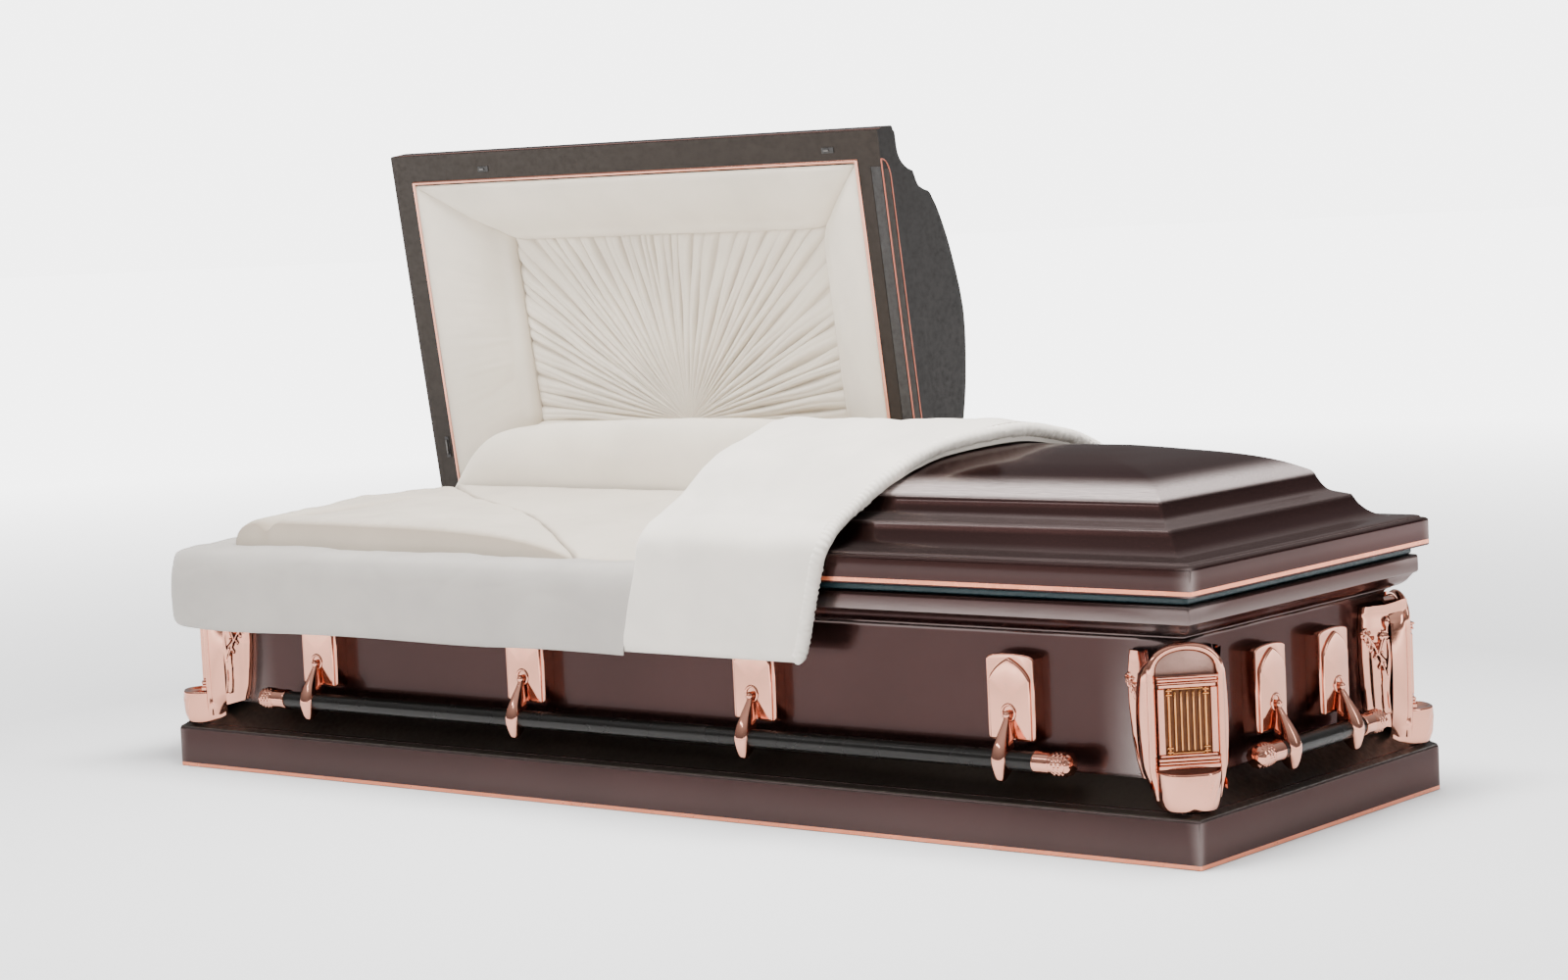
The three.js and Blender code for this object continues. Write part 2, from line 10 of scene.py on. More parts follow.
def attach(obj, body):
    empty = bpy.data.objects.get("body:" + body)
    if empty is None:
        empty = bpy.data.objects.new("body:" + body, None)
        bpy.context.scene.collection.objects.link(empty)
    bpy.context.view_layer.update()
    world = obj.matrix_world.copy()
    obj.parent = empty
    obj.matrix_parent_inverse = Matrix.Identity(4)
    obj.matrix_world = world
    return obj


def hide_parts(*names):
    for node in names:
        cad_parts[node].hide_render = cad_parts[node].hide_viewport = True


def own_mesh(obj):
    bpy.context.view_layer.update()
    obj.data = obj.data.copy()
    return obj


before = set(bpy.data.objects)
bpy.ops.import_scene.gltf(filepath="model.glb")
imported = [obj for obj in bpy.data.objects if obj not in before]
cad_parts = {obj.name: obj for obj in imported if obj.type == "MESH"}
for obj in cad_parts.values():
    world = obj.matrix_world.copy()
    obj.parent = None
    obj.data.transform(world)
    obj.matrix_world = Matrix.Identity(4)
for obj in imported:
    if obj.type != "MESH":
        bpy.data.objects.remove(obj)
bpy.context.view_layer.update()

# Sizes in millimetres, as in the part's source
LENGTH, WIDTH = 2130.0, 700.0
HALF_X, HALF_Y = LENGTH / 2, WIDTH / 2
WALL_INSET = 57.0
RIM_Z = 370.0
LID_INSET = 4.0
LID_Z = 383.0
HINGE_Y = HALF_Y - LID_INSET
SPLIT_X, SPLIT_GAP = 98.5, 3.0
OPEN = radians(82.1)
SHEET = 1.5
MM = 0.001

scene = bpy.context.scene


# Mesh helpers


def add_mesh(name, verts, faces, materials, body, slot, angle=32, matrix=None, face_mat=None):
    mesh = bpy.data.meshes.new(name)
    mesh.from_pydata([(x * MM, y * MM, z * MM) for x, y, z in verts], [], faces)
    return add_object(name, mesh, materials, body, slot, angle, matrix, face_mat)


def add_object(name, mesh, materials, body, slot, angle=32, matrix=None, face_mat=None):
    if not isinstance(materials, (list, tuple)):
        materials = [materials]
    if not mesh.materials:
        for material in materials:
            mesh.materials.append(material)
        if face_mat is not None:
            for polygon, index in zip(mesh.polygons, face_mat):
                polygon.material_index = index
        for polygon in mesh.polygons:
            polygon.use_smooth = True
        mesh.set_sharp_from_angle(angle=radians(angle))
    if matrix is not None:
        mesh = mesh.copy()
        mesh.transform(matrix)
    obj = bpy.data.objects.new(name, mesh)
    scene.collection.objects.link(obj)
    bpy.context.view_layer.update()
    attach(obj, body)
    return obj


def ring_faces(rings, count, closed=True, caps=True, base=0):
    faces = []
    steps = count if closed else count - 1
    for r in range(rings - 1):
        for i in range(steps):
            j = (i + 1) % count
            a, b = base + r * count + i, base + r * count + j
            faces.append((a, b, b + count, a + count))
    if caps:
        faces.append(tuple(base + i for i in reversed(range(count))))
        faces.append(tuple(base + (rings - 1) * count + i for i in range(count)))
    return faces


def loft(rings, closed=True, caps=True):
    verts = [p for ring in rings for p in ring]
    return verts, ring_faces(len(rings), len(rings[0]), closed, caps)


def grid(n_v, n_u, point):
    """An open sheet. point(u, v) gives its points, with u and v from 0 to 1."""
    rows = [[point(i / n_u, j / n_v) for i in range(n_u + 1)] for j in range(n_v + 1)]
    return loft(rows, closed=False, caps=False)


def flipped(verts, faces):
    return verts, [f[::-1] for f in faces]


def pad(upper, under):
    """Closes two sheets of the same rows and columns into one body along their edges."""
    rows, width = len(upper), len(upper[0])
    shift = rows * width
    faces = ring_faces(rows, width, False, False)
    faces += [f[::-1] for f in ring_faces(rows, width, False, False, shift)]
    rim = list(range(width)) + [width * j + width - 1 for j in range(1, rows)]
    rim += [width * (rows - 1) + i for i in range(width - 2, -1, -1)]
    rim += [width * j for j in range(rows - 2, 0, -1)]
    for a, b in zip(rim, rim[1:] + rim[:1]):
        faces.append((b, a, a + shift, b + shift))
    return [p for row in upper + under for p in row], faces


def travelled(points):
    """Distance along a path at each of its points."""
    out = [0.0]
    for a, b in zip(points, points[1:]):
        out.append(out[-1] + math.dist(a, b))
    return out


def powered(value, power):
    """A signed power, which squares or pinches a round section."""
    return math.copysign(abs(value) ** power, value)


class Build:
    """Several parts gathered into one mesh."""

    def __init__(self):
        self.verts, self.faces, self.mats = [], [], []

    def add(self, verts, faces, mat=0):
        base = len(self.verts)
        self.verts += list(verts)
        self.faces += [tuple(base + i for i in f) for f in faces]
        self.mats += [mat] * len(faces)

    def mesh(self, name):
        mesh = bpy.data.meshes.new(name)
        mesh.from_pydata([(x * MM, y * MM, z * MM) for x, y, z in self.verts], [], self.faces)
        return mesh

    def put(self, name, materials, body, slot, angle=32, matrix=None):
        return add_object(name, self.mesh(name), materials, body, slot, angle, matrix, self.mats)


def spline(points, steps=5):
    """Points on a smooth curve through the given ones."""
    points = [np.array(p, float) for p in points]
    ends = [2 * points[0] - points[1]] + points + [2 * points[-1] - points[-2]]
    out = []
    for i in range(1, len(ends) - 2):
        p0, p1, p2, p3 = ends[i - 1 : i + 3]
        for k in range(steps):
            t = k / steps
            square, cube = 2 * p0 - 5 * p1 + 4 * p2 - p3, 3 * p1 - p0 - 3 * p2 + p3
            out.append(0.5 * (2 * p1 + (p2 - p0) * t + square * t * t + cube * t**3))
    out.append(points[-1])
    return [tuple(float(v) for v in p) for p in out]


def profile(*sections):
    """Joins runs of points, dropping a point that repeats the one before."""
    out = []
    for section in sections:
        for p in section:
            if not out or abs(p[0] - out[-1][0]) + abs(p[1] - out[-1][1]) > 1e-6:
                out.append((float(p[0]), float(p[1])))
    return out


def rounded_rect(x0, x1, y0, y1, radii, z, n=6):
    """Anticlockwise from the low corner. radii are those of the corners in that order;
    a radius under a millimetre makes one small chamfer."""
    corners = [(x0, y0, 1, 1), (x1, y0, -1, 1), (x1, y1, -1, -1), (x0, y1, 1, -1)]
    points = []
    for k, (cx, cy, sx, sy) in enumerate(corners):
        r = radii[k]
        start = pi + k * pi / 2
        steps = 1 if r < 1 else n
        for i in range(steps + 1):
            a = start + (pi / 2) * i / steps
            points.append((cx + sx * r + r * cos(a), cy + sy * r + r * sin(a), z))
    return points


def smoothstep(a, b, x):
    t = min(1.0, max(0.0, (x - a) / (b - a)))
    return t * t * (3 - 2 * t)


def wave(x, y, z, scale, seed=0.0):
    return noise.noise(Vector((x / scale + seed, y / scale - seed, z / scale + 2 * seed)))


def billow(x, y, z, scale, seed=0.0):
    """Padded folds with round tops and narrow valleys, about -0.4 to 0.5."""
    return min(0.9, abs(wave(x, y, z, scale, seed)) ** 0.65) - 0.4


def sweep(path, section, up=Vector((0, 0, 1)), closed=False, caps=True, scale=None):
    """Section points (side, up) carried along a path."""
    path = [Vector(p) for p in path]
    count = len(path)
    rings = []
    for i, p in enumerate(path):
        if closed:
            along = path[(i + 1) % count] - path[i - 1]
        else:
            along = path[min(i + 1, count - 1)] - path[max(i - 1, 0)]
        along.normalize()
        side = along.cross(up).normalized()
        over = side.cross(along).normalized()
        k = scale[i] if scale else 1.0
        rings.append([tuple(p + side * (a * k) + over * (b * k)) for a, b in section])
    if closed:
        rings.append(rings[0])
    verts, faces = loft(rings, caps=caps and not closed)
    return verts, faces


def circle(radius, n):
    return [(radius * cos(2 * pi * i / n), radius * sin(2 * pi * i / n)) for i in range(n)]


def box_part(x0, x1, y0, y1, z0, z1, bevel=0.8):
    """A block with bevelled edges."""
    b = min(bevel, (x1 - x0) / 3, (y1 - y0) / 3, (z1 - z0) / 3)
    rings = []
    for z, inset in ((z0, b), (z0 + b, 0), (z1 - b, 0), (z1, b)):
        rings.append(rounded_rect(x0 + inset, x1 - inset, y0 + inset, y1 - inset, [b] * 4, z, 2))
    return loft(rings)


def lathe(points, n, lobes=lambda x, a: 0.0):
    """Solid of revolution about +X. points are (x, radius), and lobes gives by what share
    the radius grows at x and an angle."""
    rings = []
    for x, r in points:
        ring = []
        for i in range(n):
            a = 2 * pi * i / n
            k = r * (1 + lobes(x, a))
            ring.append((x, -k * cos(a), k * sin(a)))
        rings.append(ring[::-1])
    return loft(rings)


def sphere(center, radius, n):
    rings = []
    for j in range(1, n):
        t = pi * j / n
        z = center[2] - radius * cos(t)
        rings.append([(center[0] + x, center[1] + y, z) for x, y in circle(radius * sin(t), 2 * n)])
    return loft(rings)


# Materials


class Nodes:
    """Short calls for building a material."""

    def __init__(self, name):
        self.material = bpy.data.materials.new(name)
        self.material.use_nodes = True
        self.tree = self.material.node_tree
        self.shader = self.tree.nodes["Principled BSDF"]

    def node(self, kind, inputs=None, **settings):
        made = self.tree.nodes.new(kind)
        for key, value in settings.items():
            setattr(made, key, value)
        for key, value in (inputs or {}).items():
            if isinstance(value, bpy.types.NodeSocket):
                self.tree.links.new(value, made.inputs[key])
            else:
                made.inputs[key].default_value = value
        return made

    def coords(self, scale=(1, 1, 1)):
        source = self.node("ShaderNodeTexCoord").outputs["Object"]
        return self.node("ShaderNodeMapping", {"Vector": source, "Scale": scale}).outputs[0]

    def noise(self, scale, stretch=(1, 1, 1), detail=3.0, roughness=0.55):
        inputs = {"Vector": self.coords(stretch), "Scale": scale, "Detail": detail}
        inputs["Roughness"] = roughness
        return self.node("ShaderNodeTexNoise", inputs).outputs["Fac"]

    def span(self, value, low, high, to_low=0.0, to_high=1.0):
        inputs = {0: value, 1: low, 2: high, 3: to_low, 4: to_high}
        made = self.node("ShaderNodeMapRange", inputs, clamp=True)
        return made.outputs[0]

    def math(self, operation, a, b=0.0):
        return self.node("ShaderNodeMath", {0: a, 1: b}, operation=operation).outputs[0]

    def mix(self, fac, a, b):
        made = self.node("ShaderNodeMix", data_type="RGBA")
        for index, value in ((0, fac), (6, a), (7, b)):
            if isinstance(value, bpy.types.NodeSocket):
                self.tree.links.new(value, made.inputs[index])
            elif index == 0:
                made.inputs[0].default_value = value
            else:
                made.inputs[index].default_value = (*value, 1)
        return made.outputs[2]

    def set(self, **values):
        for key, value in values.items():
            socket = self.shader.inputs[key.replace("_", " ")]
            if isinstance(value, bpy.types.NodeSocket):
                self.tree.links.new(value, socket)
            elif isinstance(value, tuple):
                socket.default_value = (*value, 1) if len(value) == 3 else value
            else:
                socket.default_value = value

    def bump(self, height, strength, distance=0.001, normal=None):
        inputs = {"Height": height, "Strength": strength, "Distance": distance}
        if normal is not None:
            inputs["Normal"] = normal
        made = self.node("ShaderNodeBump", inputs)
        self.tree.links.new(made.outputs[0], self.shader.inputs["Normal"])
        return made.outputs[0]


def enamel(name, wide, tight):
    """Brushed, lacquered reddish-brown metal, paler towards the upright corners and on some
    bands: partly a brushed two-tone finish, partly painted highlight. wide and tight give
    where the paleness towards the upright corners starts, on the wall and on the
    mouldings: (x, y) and how strong it gets."""
    m = Nodes(name)
    grain = m.noise(9.0, (3, 60, 60), 4.0, 0.6)
    cloud = m.noise(2.2, (1, 1, 1), 2.0)
    split = m.node("ShaderNodeSeparateXYZ", {0: m.node("ShaderNodeTexCoord").outputs["Object"]})
    ax = m.math("ABSOLUTE", split.outputs[0])
    ay = m.math("ABSOLUTE", split.outputs[1])

    def corner(x0, x1, y0, y1, power, strength):
        both = m.math("MULTIPLY", m.span(ax, x0, x1), m.span(ay, y0, y1))
        return m.math("MULTIPLY", m.math("POWER", both, power), strength)

    # Painted highlight, partly brushed finish: paler towards the upright corners, widest low on the wall, then
    # the mouldings' corners and the bands stored per point
    mask = m.math("MULTIPLY", corner(*wide), m.span(split.outputs[2], 0.30, 0.12, 0.15, 1.0))
    mask = m.math("MULTIPLY", mask, m.span(split.outputs[2], 0.085, 0.11))
    mask = m.math("MAXIMUM", mask, corner(*tight))
    mask = m.math("MAXIMUM", mask, m.node("ShaderNodeAttribute", attribute_name="brushing_and_highlight").outputs["Fac"])
    mask = m.math("MULTIPLY", mask, m.span(grain, 0.25, 0.75, 0.75, 1.15))
    dark = m.mix(m.span(cloud, 0.35, 0.65), (0.029, 0.0125, 0.0110), (0.038, 0.0165, 0.0148))
    color = m.mix(mask, dark, (0.52, 0.44, 0.42))
    m.set(Base_Color=color, Metallic=m.span(mask, 0.0, 1.0, 0.88, 0.4))
    m.set(Roughness=m.span(grain, 0.3, 0.7, 0.235, 0.27))
    m.set(Specular_Tint=(0.45, 0.38, 0.37), Coat_Weight=0.2, Coat_Roughness=0.07)
    m.bump(grain, 0.012, 0.0003)
    return m.material


def flat_metal(name, color, roughness, metallic=1.0, coat=0.0, speckle=0.06, bump=0.04, scale=120):
    m = Nodes(name)
    fine = m.noise(scale, (1, 1, 1), 4.0)
    wide = m.noise(14.0, (1, 1, 1), 2.0)
    low = tuple(c * (1 - speckle) for c in color)
    high = tuple(min(1.0, c * (1 + speckle)) for c in color)
    m.set(Base_Color=m.mix(m.span(wide, 0.3, 0.7), low, high), Metallic=metallic)
    m.set(Roughness=m.span(fine, 0.3, 0.7, roughness * 0.8, roughness * 1.3))
    m.set(Coat_Weight=coat, Coat_Roughness=0.08)
    m.bump(fine, bump, 0.0003)
    return m.material


def velvet(name, color, shade=0.86, fold=0.25, weave=1500.0):
    """Soft crepe cloth: fine weave, slow unevenness, a little sheen, and painted shade where the 'deep'
    attribute is set.
    """
    m = Nodes(name)
    wide = m.noise(7.0, (1, 1, 1), 3.0)
    fuzz = m.noise(260.0, (1, 1, 1), 4.0, 0.7)
    thread = m.noise(weave, (1, 1, 1), 2.0)
    tint = m.mix(m.span(wide, 0.3, 0.7), tuple(c * shade for c in color), color)
    tint = m.mix(m.span(fuzz, 0.2, 0.8, 0.0, 0.35), tint, tuple(c * 0.93 for c in color))
    # Painted shade: darker where the 'deep' attribute marks seams, edges and fold valleys
    deep = m.node("ShaderNodeAttribute", attribute_name="deep").outputs["Fac"]
    tint = m.mix(deep, tint, tuple(c * k for c, k in zip(color, (0.52, 0.47, 0.42))))
    m.set(Base_Color=tint, Roughness=0.9, Sheen_Weight=0.2, Sheen_Roughness=0.45)
    first = m.bump(wide, fold, 0.004)
    height = m.math("ADD", fuzz, m.math("MULTIPLY", thread, 0.6))
    m.bump(height, 0.22, 0.0006, first)
    return m.material


# Painted corner highlight: strong on the body's wall and mouldings, weaker on the foot lid, none on the open
# head lid
LID_WIDE, LID_TIGHT = (0.99, 1.06, 0.28, 0.35, 2.0, 0.0), (1.02, 1.062, 0.31, 0.347, 3.0)
ENAMEL = enamel("enamel_body", (0.86, 1.0, 0.20, 0.29, 1.6, 1.0), (1.03, 1.066, 0.32, 0.351, 3.0, 0.3))
ENAMEL_LID = enamel("enamel_lid", LID_WIDE, (*LID_TIGHT, 0.35))
ENAMEL_HEAD = enamel("enamel_head_lid", LID_WIDE, (*LID_TIGHT, 0.0))
ENAMEL_DARK = flat_metal("enamel_inside", (0.023, 0.017, 0.013), 0.42, 0.7, 0.0)
ENAMEL_PLATE = flat_metal("enamel_end_plate", (0.017, 0.015, 0.014), 0.42, 0.85, 0.0, 0.06, 0.005)
COPPER = flat_metal("rose_copper", (0.64, 0.295, 0.21), 0.10)
COPPER_MATT = flat_metal("rose_copper_matt", (0.36, 0.215, 0.175), 0.42, 1.0, 0.0, 0.3, 0.5, 420)
STRIPE = flat_metal("copper_stripe", (0.80, 0.28, 0.16), 0.3)
# A copper line on the lid's split end, and on the lip's edge a painted highlight
STRIPE_DARK = flat_metal("copper_line_and_edge_highlight", (0.40, 0.13, 0.09), 0.35)
GOLD = flat_metal("gilt", (0.52, 0.23, 0.085), 0.16)
GOLD_DARK = flat_metal("gilt_ground", (0.12, 0.05, 0.026), 0.4)
BLACK = flat_metal("bar_black", (0.010, 0.009, 0.008), 0.26, 0.6, 0.0, 0.1, 0.0, 6)
SEAL = flat_metal("gasket_rubber", (0.004, 0.020, 0.025), 0.5, 0.0)
SEAL_DARK = flat_metal("seal_rubber", (0.016, 0.014, 0.013), 0.55, 0.0)
STEEL = flat_metal("catch_steel", (0.10, 0.095, 0.09), 0.3)
IVORY = velvet("ivory_cloth", (0.76, 0.70, 0.62))
# bed_cloth is the ivory cloth made darker and warmer; its darkness is painted shade for the bed lying inside
# the body
IVORY_BED = velvet("bed_cloth", (0.60, 0.53, 0.44))
IVORY_SKIRT = velvet("skirt_cloth", (0.42, 0.388, 0.352))
IVORY_DEEP = velvet("lining_cloth", (0.74, 0.665, 0.555))


# Body shell


def body_profile():
    return profile(
        [(1, 0), (0, 1), (0, 7)],
        [(0, 7), (0, 66)],
        spline([(0, 66), (0.8, 69.5), (3.5, 71.3), (6, 71.8)], 3),
        spline([(6, 72.2), (8.6, 73), (9.6, 75.2), (8.8, 77.2), (11, 78.4)], 3),
        spline([(12, 79), (25, 81.5), (37, 88), (46, 97), (52.5, 107.5), (56, 114), (57, 122)], 4),
        [(57, 122), (57, 310)],
        spline([(57, 310), (56, 315), (52.5, 318.6), (48, 320)], 3),
        [(48, 321.5)],
        spline([(48, 321.5), (40, 323.5), (31.5, 329), (26, 336.5), (22.5, 341)], 4),
        spline([(22.5, 341), (18.5, 342.6), (17, 345.5)], 3),
        [(17, 345.5), (17, 364)],
        spline([(17, 364), (18, 368.6), (22, 370)], 3),
        [(78, 370), (78, 368.5), (19, 368.5), (18.5, 345), (58.5, 315), (58.5, 116), (8, 76), (1.5, 72)],
        [(1.5, 2)],
    )


def inset_ring(d, z, radius):
    x, y = HALF_X - d, HALF_Y - d
    return rounded_rect(-x, x, -y, y, [radius] * 4, z)


def set_shade(obj, name, values):
    """Stores per point how much brushed paleness and painted highlight, or how much painted shade, its material
    gets.
    """
    attribute = obj.data.attributes.new(name, "FLOAT", "POINT")
    attribute.data.foreach_set("value", np.array(values, np.float32))


def thicken(obj, metres, offset):
    thick = obj.modifiers.new("thickness", "SOLIDIFY")
    thick.thickness, thick.offset = metres, offset


def make_shell():
    points = body_profile()
    rings = [inset_ring(d, z, 4.0) for d, z in points]
    verts, faces = loft(rings)
    count = len(rings[0])
    mats = []
    for r in range(len(rings) - 1):
        stripe = points[r] == (0, 1)
        inside = points[r][0] >= 77 or r > points.index((78.0, 370.0))
        mats += [1 if stripe else 2 if inside else 0] * count
    mats += [0, 2]
    obj = add_mesh("casket_body", verts, faces, [ENAMEL, STRIPE, ENAMEL_DARK], "body", "enamel",
                   28, None, mats)
    brushing_and_highlight = []
    # Painted highlight, partly brushed finish: lighter bands on the base's face and bead and on the moulding
    bands = ((-1, 66, 0.04), (66, 78, 0.1), (312, 322, 0.14), (341, 347, 0.22))
    for d, z in points:
        brushing_and_highlight += [sum(value for low, high, value in bands if low < z < high)] * count
    set_shade(obj, "brushing_and_highlight", brushing_and_highlight)
    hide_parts("shell")


def make_gasket():
    d0, d1, z0, z1 = 24.0, 40.0, RIM_Z + 0.3, LID_Z - 0.4
    section = profile(
        spline([(d0 + 4, z0), (d0 + 0.6, z0 + 2), (d0, 376.5), (d0 + 0.6, z1 - 2), (d0 + 4, z1)], 3),
        spline([(d1 - 4, z1), (d1 - 0.6, z1 - 2), (d1, 376.5), (d1 - 0.6, z0 + 2), (d1 - 4, z0)], 3),
    )
    rings = [inset_ring(d, z, 6.0) for d, z in section]
    rings.append(rings[0])
    verts, faces = loft(rings, caps=False)
    obj = add_mesh("rim_gasket", verts, faces, SEAL, "body", "gasket")
    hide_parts("gasket")


# Lids, drawn closed; the head lid's meshes are turned open about the hinge line

HINGE = Vector((0, HINGE_Y * MM, LID_Z * MM))
OPENED = Matrix.Translation(HINGE) @ Matrix.Rotation(-OPEN, 4, "X") @ Matrix.Translation(-HINGE)
CLOSED = Matrix.Identity(4)


def lid_profile():
    return profile(
        [(1, 0), (0, 1), (0, 3.2), (0, 9.2), (0, 38)],
        spline([(0, 38), (0.8, 41), (4, 43.2), (9, 44.3)], 3),
        spline([(9, 44.8), (11, 47), (15, 48)], 3),
        [(15, 48), (38, 48)],
        spline([(38, 48), (52, 50.4), (66, 58.2), (77, 70.2), (83.5, 82.5)], 5),
        spline([(83.5, 82.5), (85, 85.4), (89, 87)], 3),
        [(89, 87), (105, 92.2)],
        spline([(105, 92.2), (111.5, 96.2), (118, 105), (123, 115)], 4),
        spline([(123, 115), (125.2, 121), (130, 126.6), (138, 131)], 4),
        spline([(138, 131), (160, 142), (191, 153), (222, 162), (254, 169), (280, 174), (310, 178.5),
                (340, 181)], 3),
    )


def lid_bounds(head, end, cut, hinge, front):
    far = HALF_X - LID_INSET
    split = SPLIT_X + (-SPLIT_GAP / 2 if head else SPLIT_GAP / 2)
    y0, y1 = -HINGE_Y + front, HINGE_Y - hinge
    if head:
        return -far + end, split - cut, y0, y1
    return split + cut, far - end, y0, y1


def lid_ring(head, d, z, cut=0.0, radius=4.0, inner=None):
    x0, x1, y0, y1 = lid_bounds(head, *(inner or (d, cut, d, d)))
    radius = min(radius, (y1 - y0) / 2 - 1)
    radii = [radius, 0.3, 0.3, radius] if head else [0.3, radius, radius, 0.3]
    return rounded_rect(x0, x1, y0, y1, radii, z + LID_Z)


def corner_radius(d):
    return 4.0 + 46.0 * smoothstep(180, 262, d)


def make_lid(name, node, head, matrix, body):
    points = lid_profile()
    rings = [lid_ring(head, d, z, 0.0, corner_radius(d)) for d, z in points]
    mats = []
    count = len(rings[0])
    inner = [(SHEET, SHEET)] + [(d + 1.2, z - 1.6) for d, z in points[12:]]
    under = [lid_ring(head, 0, SHEET, inner=(SHEET, SHEET, SHEET, SHEET))]
    for d, z in inner[1:]:
        under.append(lid_ring(head, d, z, SHEET, corner_radius(d)))
    mouth = [lid_ring(head, 0, z, inner=(55, 55, 55, 55)) for z in (0.0, SHEET)]
    order = under[::-1] + [mouth[1], mouth[0]] + rings
    skipped = len(under) + 1
    plate = 8 if head else count - 1
    for r in range(len(order) - 1):
        k = r - skipped - 1
        stripe = 0 <= k < len(points) and points[k] == (0.0, 3.2)
        row = [1 if stripe else 2 if r <= skipped else 0] * count
        if r > skipped:
            row[plate] = 3
        mats += row
    mats += [2, 0]
    verts, faces = loft(order)
    outside = ENAMEL_HEAD if head else ENAMEL_LID
    obj = add_mesh(name, verts, faces, [outside, STRIPE, ENAMEL_DARK, ENAMEL_PLATE], body, "enamel",
                   28, matrix, mats)
    brushing_and_highlight = []
    for r in range(len(order)):
        k = r - skipped - 1
        value = 0.0
        if k >= 0:
            d, z = points[k]
            # Painted highlight, partly brushed finish: lighter along the lid's rounded band and two ledges,
            # faintly on the dome
            value = 0.95 * smoothstep(117, 124, z) * (1 - smoothstep(132, 151, z))
            value = max(value, 0.03 * smoothstep(150, 181, z))
            value = max(value, 0.14 * smoothstep(40, 46, z) * (1 - smoothstep(48, 60, z)))
            value = max(value, 0.20 * smoothstep(80, 86, z) * (1 - smoothstep(93, 100, z)))
        brushing_and_highlight += [value] * count
    set_shade(obj, "brushing_and_highlight", brushing_and_highlight)
    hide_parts(node)


def make_trim():
    """Copper bead round the inner edge of the lid's mouth."""
    inset = np.array([56.0, 56.0, 56.0, 56.0])
    section = [(-6.8, -0.3)] + [(-3.4 - 3.4 * cos(a), -0.3 - 2.2 * sin(a)) for a in
                               [pi * i / 8 for i in range(9)]] + [(0, -0.3)]
    rings = []
    for off, z in section:
        x0, x1, y0, y1 = lid_bounds(True, *(inset + off))
        rings.append(rounded_rect(x0, x1, y0, y1, [2.0] * 4, z + LID_Z, 3))
    rings.append(rings[0])
    verts, faces = loft(rings, caps=False)
    faces = [f[::-1] for f in faces]
    obj = add_mesh("head_lid_bead", verts, faces, COPPER, "head_lid", "copper_plate", 40, OPENED)
    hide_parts("head_lid_trim")


def make_end_lines():
    """Seal channel along the lid's split edge: dark strip under the border, brown band on
    the end plate, a copper-coloured line on the edge that is a painted highlight of the lip,
    and a copper line beyond the band."""
    build = Build()
    x = SPLIT_X - SPLIT_GAP / 2

    def tape(path, out, half, proud, mat):
        rings = []
        for i, p in enumerate(path):
            a = Vector(path[max(i - 1, 0)])
            b = Vector(path[min(i + 1, len(path) - 1)])
            side = out.cross(b - a).normalized()
            section = [(-0.3, -half), (proud * 0.6, -half), (proud, -half * 0.7), (proud, half * 0.7),
                       (proud * 0.6, half), (-0.3, half)]
            rings.append([tuple(Vector(p) + out * u + side * v) for u, v in section])
        build.add(*loft(rings), mat=mat)

    plate, under = Vector((1, 0, 0)), Vector((0, 0, -1))
    run = [30, 120, 240, 360, 480, 560, 600]
    turn = [(605 + 36 * sin(pi * i / 16), cos(pi * i / 16)) for i in range(9)]
    tape([(x - 12.5, HINGE_Y - s, LID_Z) for s in run + [628]], under, 10.5, 0.8, 0)
    tape([(x - 24, HINGE_Y - s, LID_Z) for s in run + [628]], under, 1.2, 1.4, 2)
    tape([(x, HINGE_Y - s, LID_Z + 11) for s in run + [622]], plate, 9.0, 0.5, 2)
    # Painted highlight: this copper-coloured strip on the lip's edge stands in for the edge's highlight
    tape([(x + 0.2, HINGE_Y - s, LID_Z + 0.8) for s in run + [640]], plate, 1.3, 1.0, 1)
    path = [(x, HINGE_Y - s, LID_Z + 22) for s in run]
    path += [(x, HINGE_Y - s, LID_Z + 22 * k) for s, k in turn]
    tape(path, plate, 1.2, 1.2, 1)
    build.put("head_lid_end_lines", [SEAL_DARK, STRIPE_DARK, ENAMEL_DARK], "head_lid", "copper_plate",
              32, OPENED)


def make_catches():
    """Two keeper plates on the front border and a hold-down tab on the end border."""
    build = Build()
    front = -HINGE_Y + 32
    for x in (-824, -13):
        build.add(*box_part(x - 13, x + 13, front - 5, front + 5, LID_Z - 1.4, LID_Z - 0.1, 0.5), mat=0)
        build.add(*box_part(x - 8, x + 3, front - 2, front + 2, LID_Z - 3.2, LID_Z - 1.5, 0.5), mat=1)
    x, y = -HALF_X + LID_INSET + 36, 216
    build.add(*box_part(x - 5, x + 5, y - 20, y + 20, LID_Z - 1.6, LID_Z - 0.1, 0.5), mat=0)
    build.add(*box_part(x - 2, x + 2, y - 14, y + 14, LID_Z - 4.0, LID_Z - 1.7, 0.6), mat=1)
    build.put("head_lid_catches", [SEAL_DARK, STEEL], "head_lid", "copper_plate", 32, OPENED)


# How far the lining's outer edge and its panel lie in from the lid's end, cut, hinge and
# front sides, and how deep the panel lies
EDGE = (55.0, 54.0, 57.0, 58.0)
PANEL = (210.0, 201.0, 160.0, 173.0)
DEPTH = 92.0


def panel_corners(head, insets, z):
    x0, x1, y0, y1 = lid_bounds(head, *insets)
    return [Vector(p) for p in ((x0, y0, z), (x1, y0, z), (x1, y1, z), (x0, y1, z))]


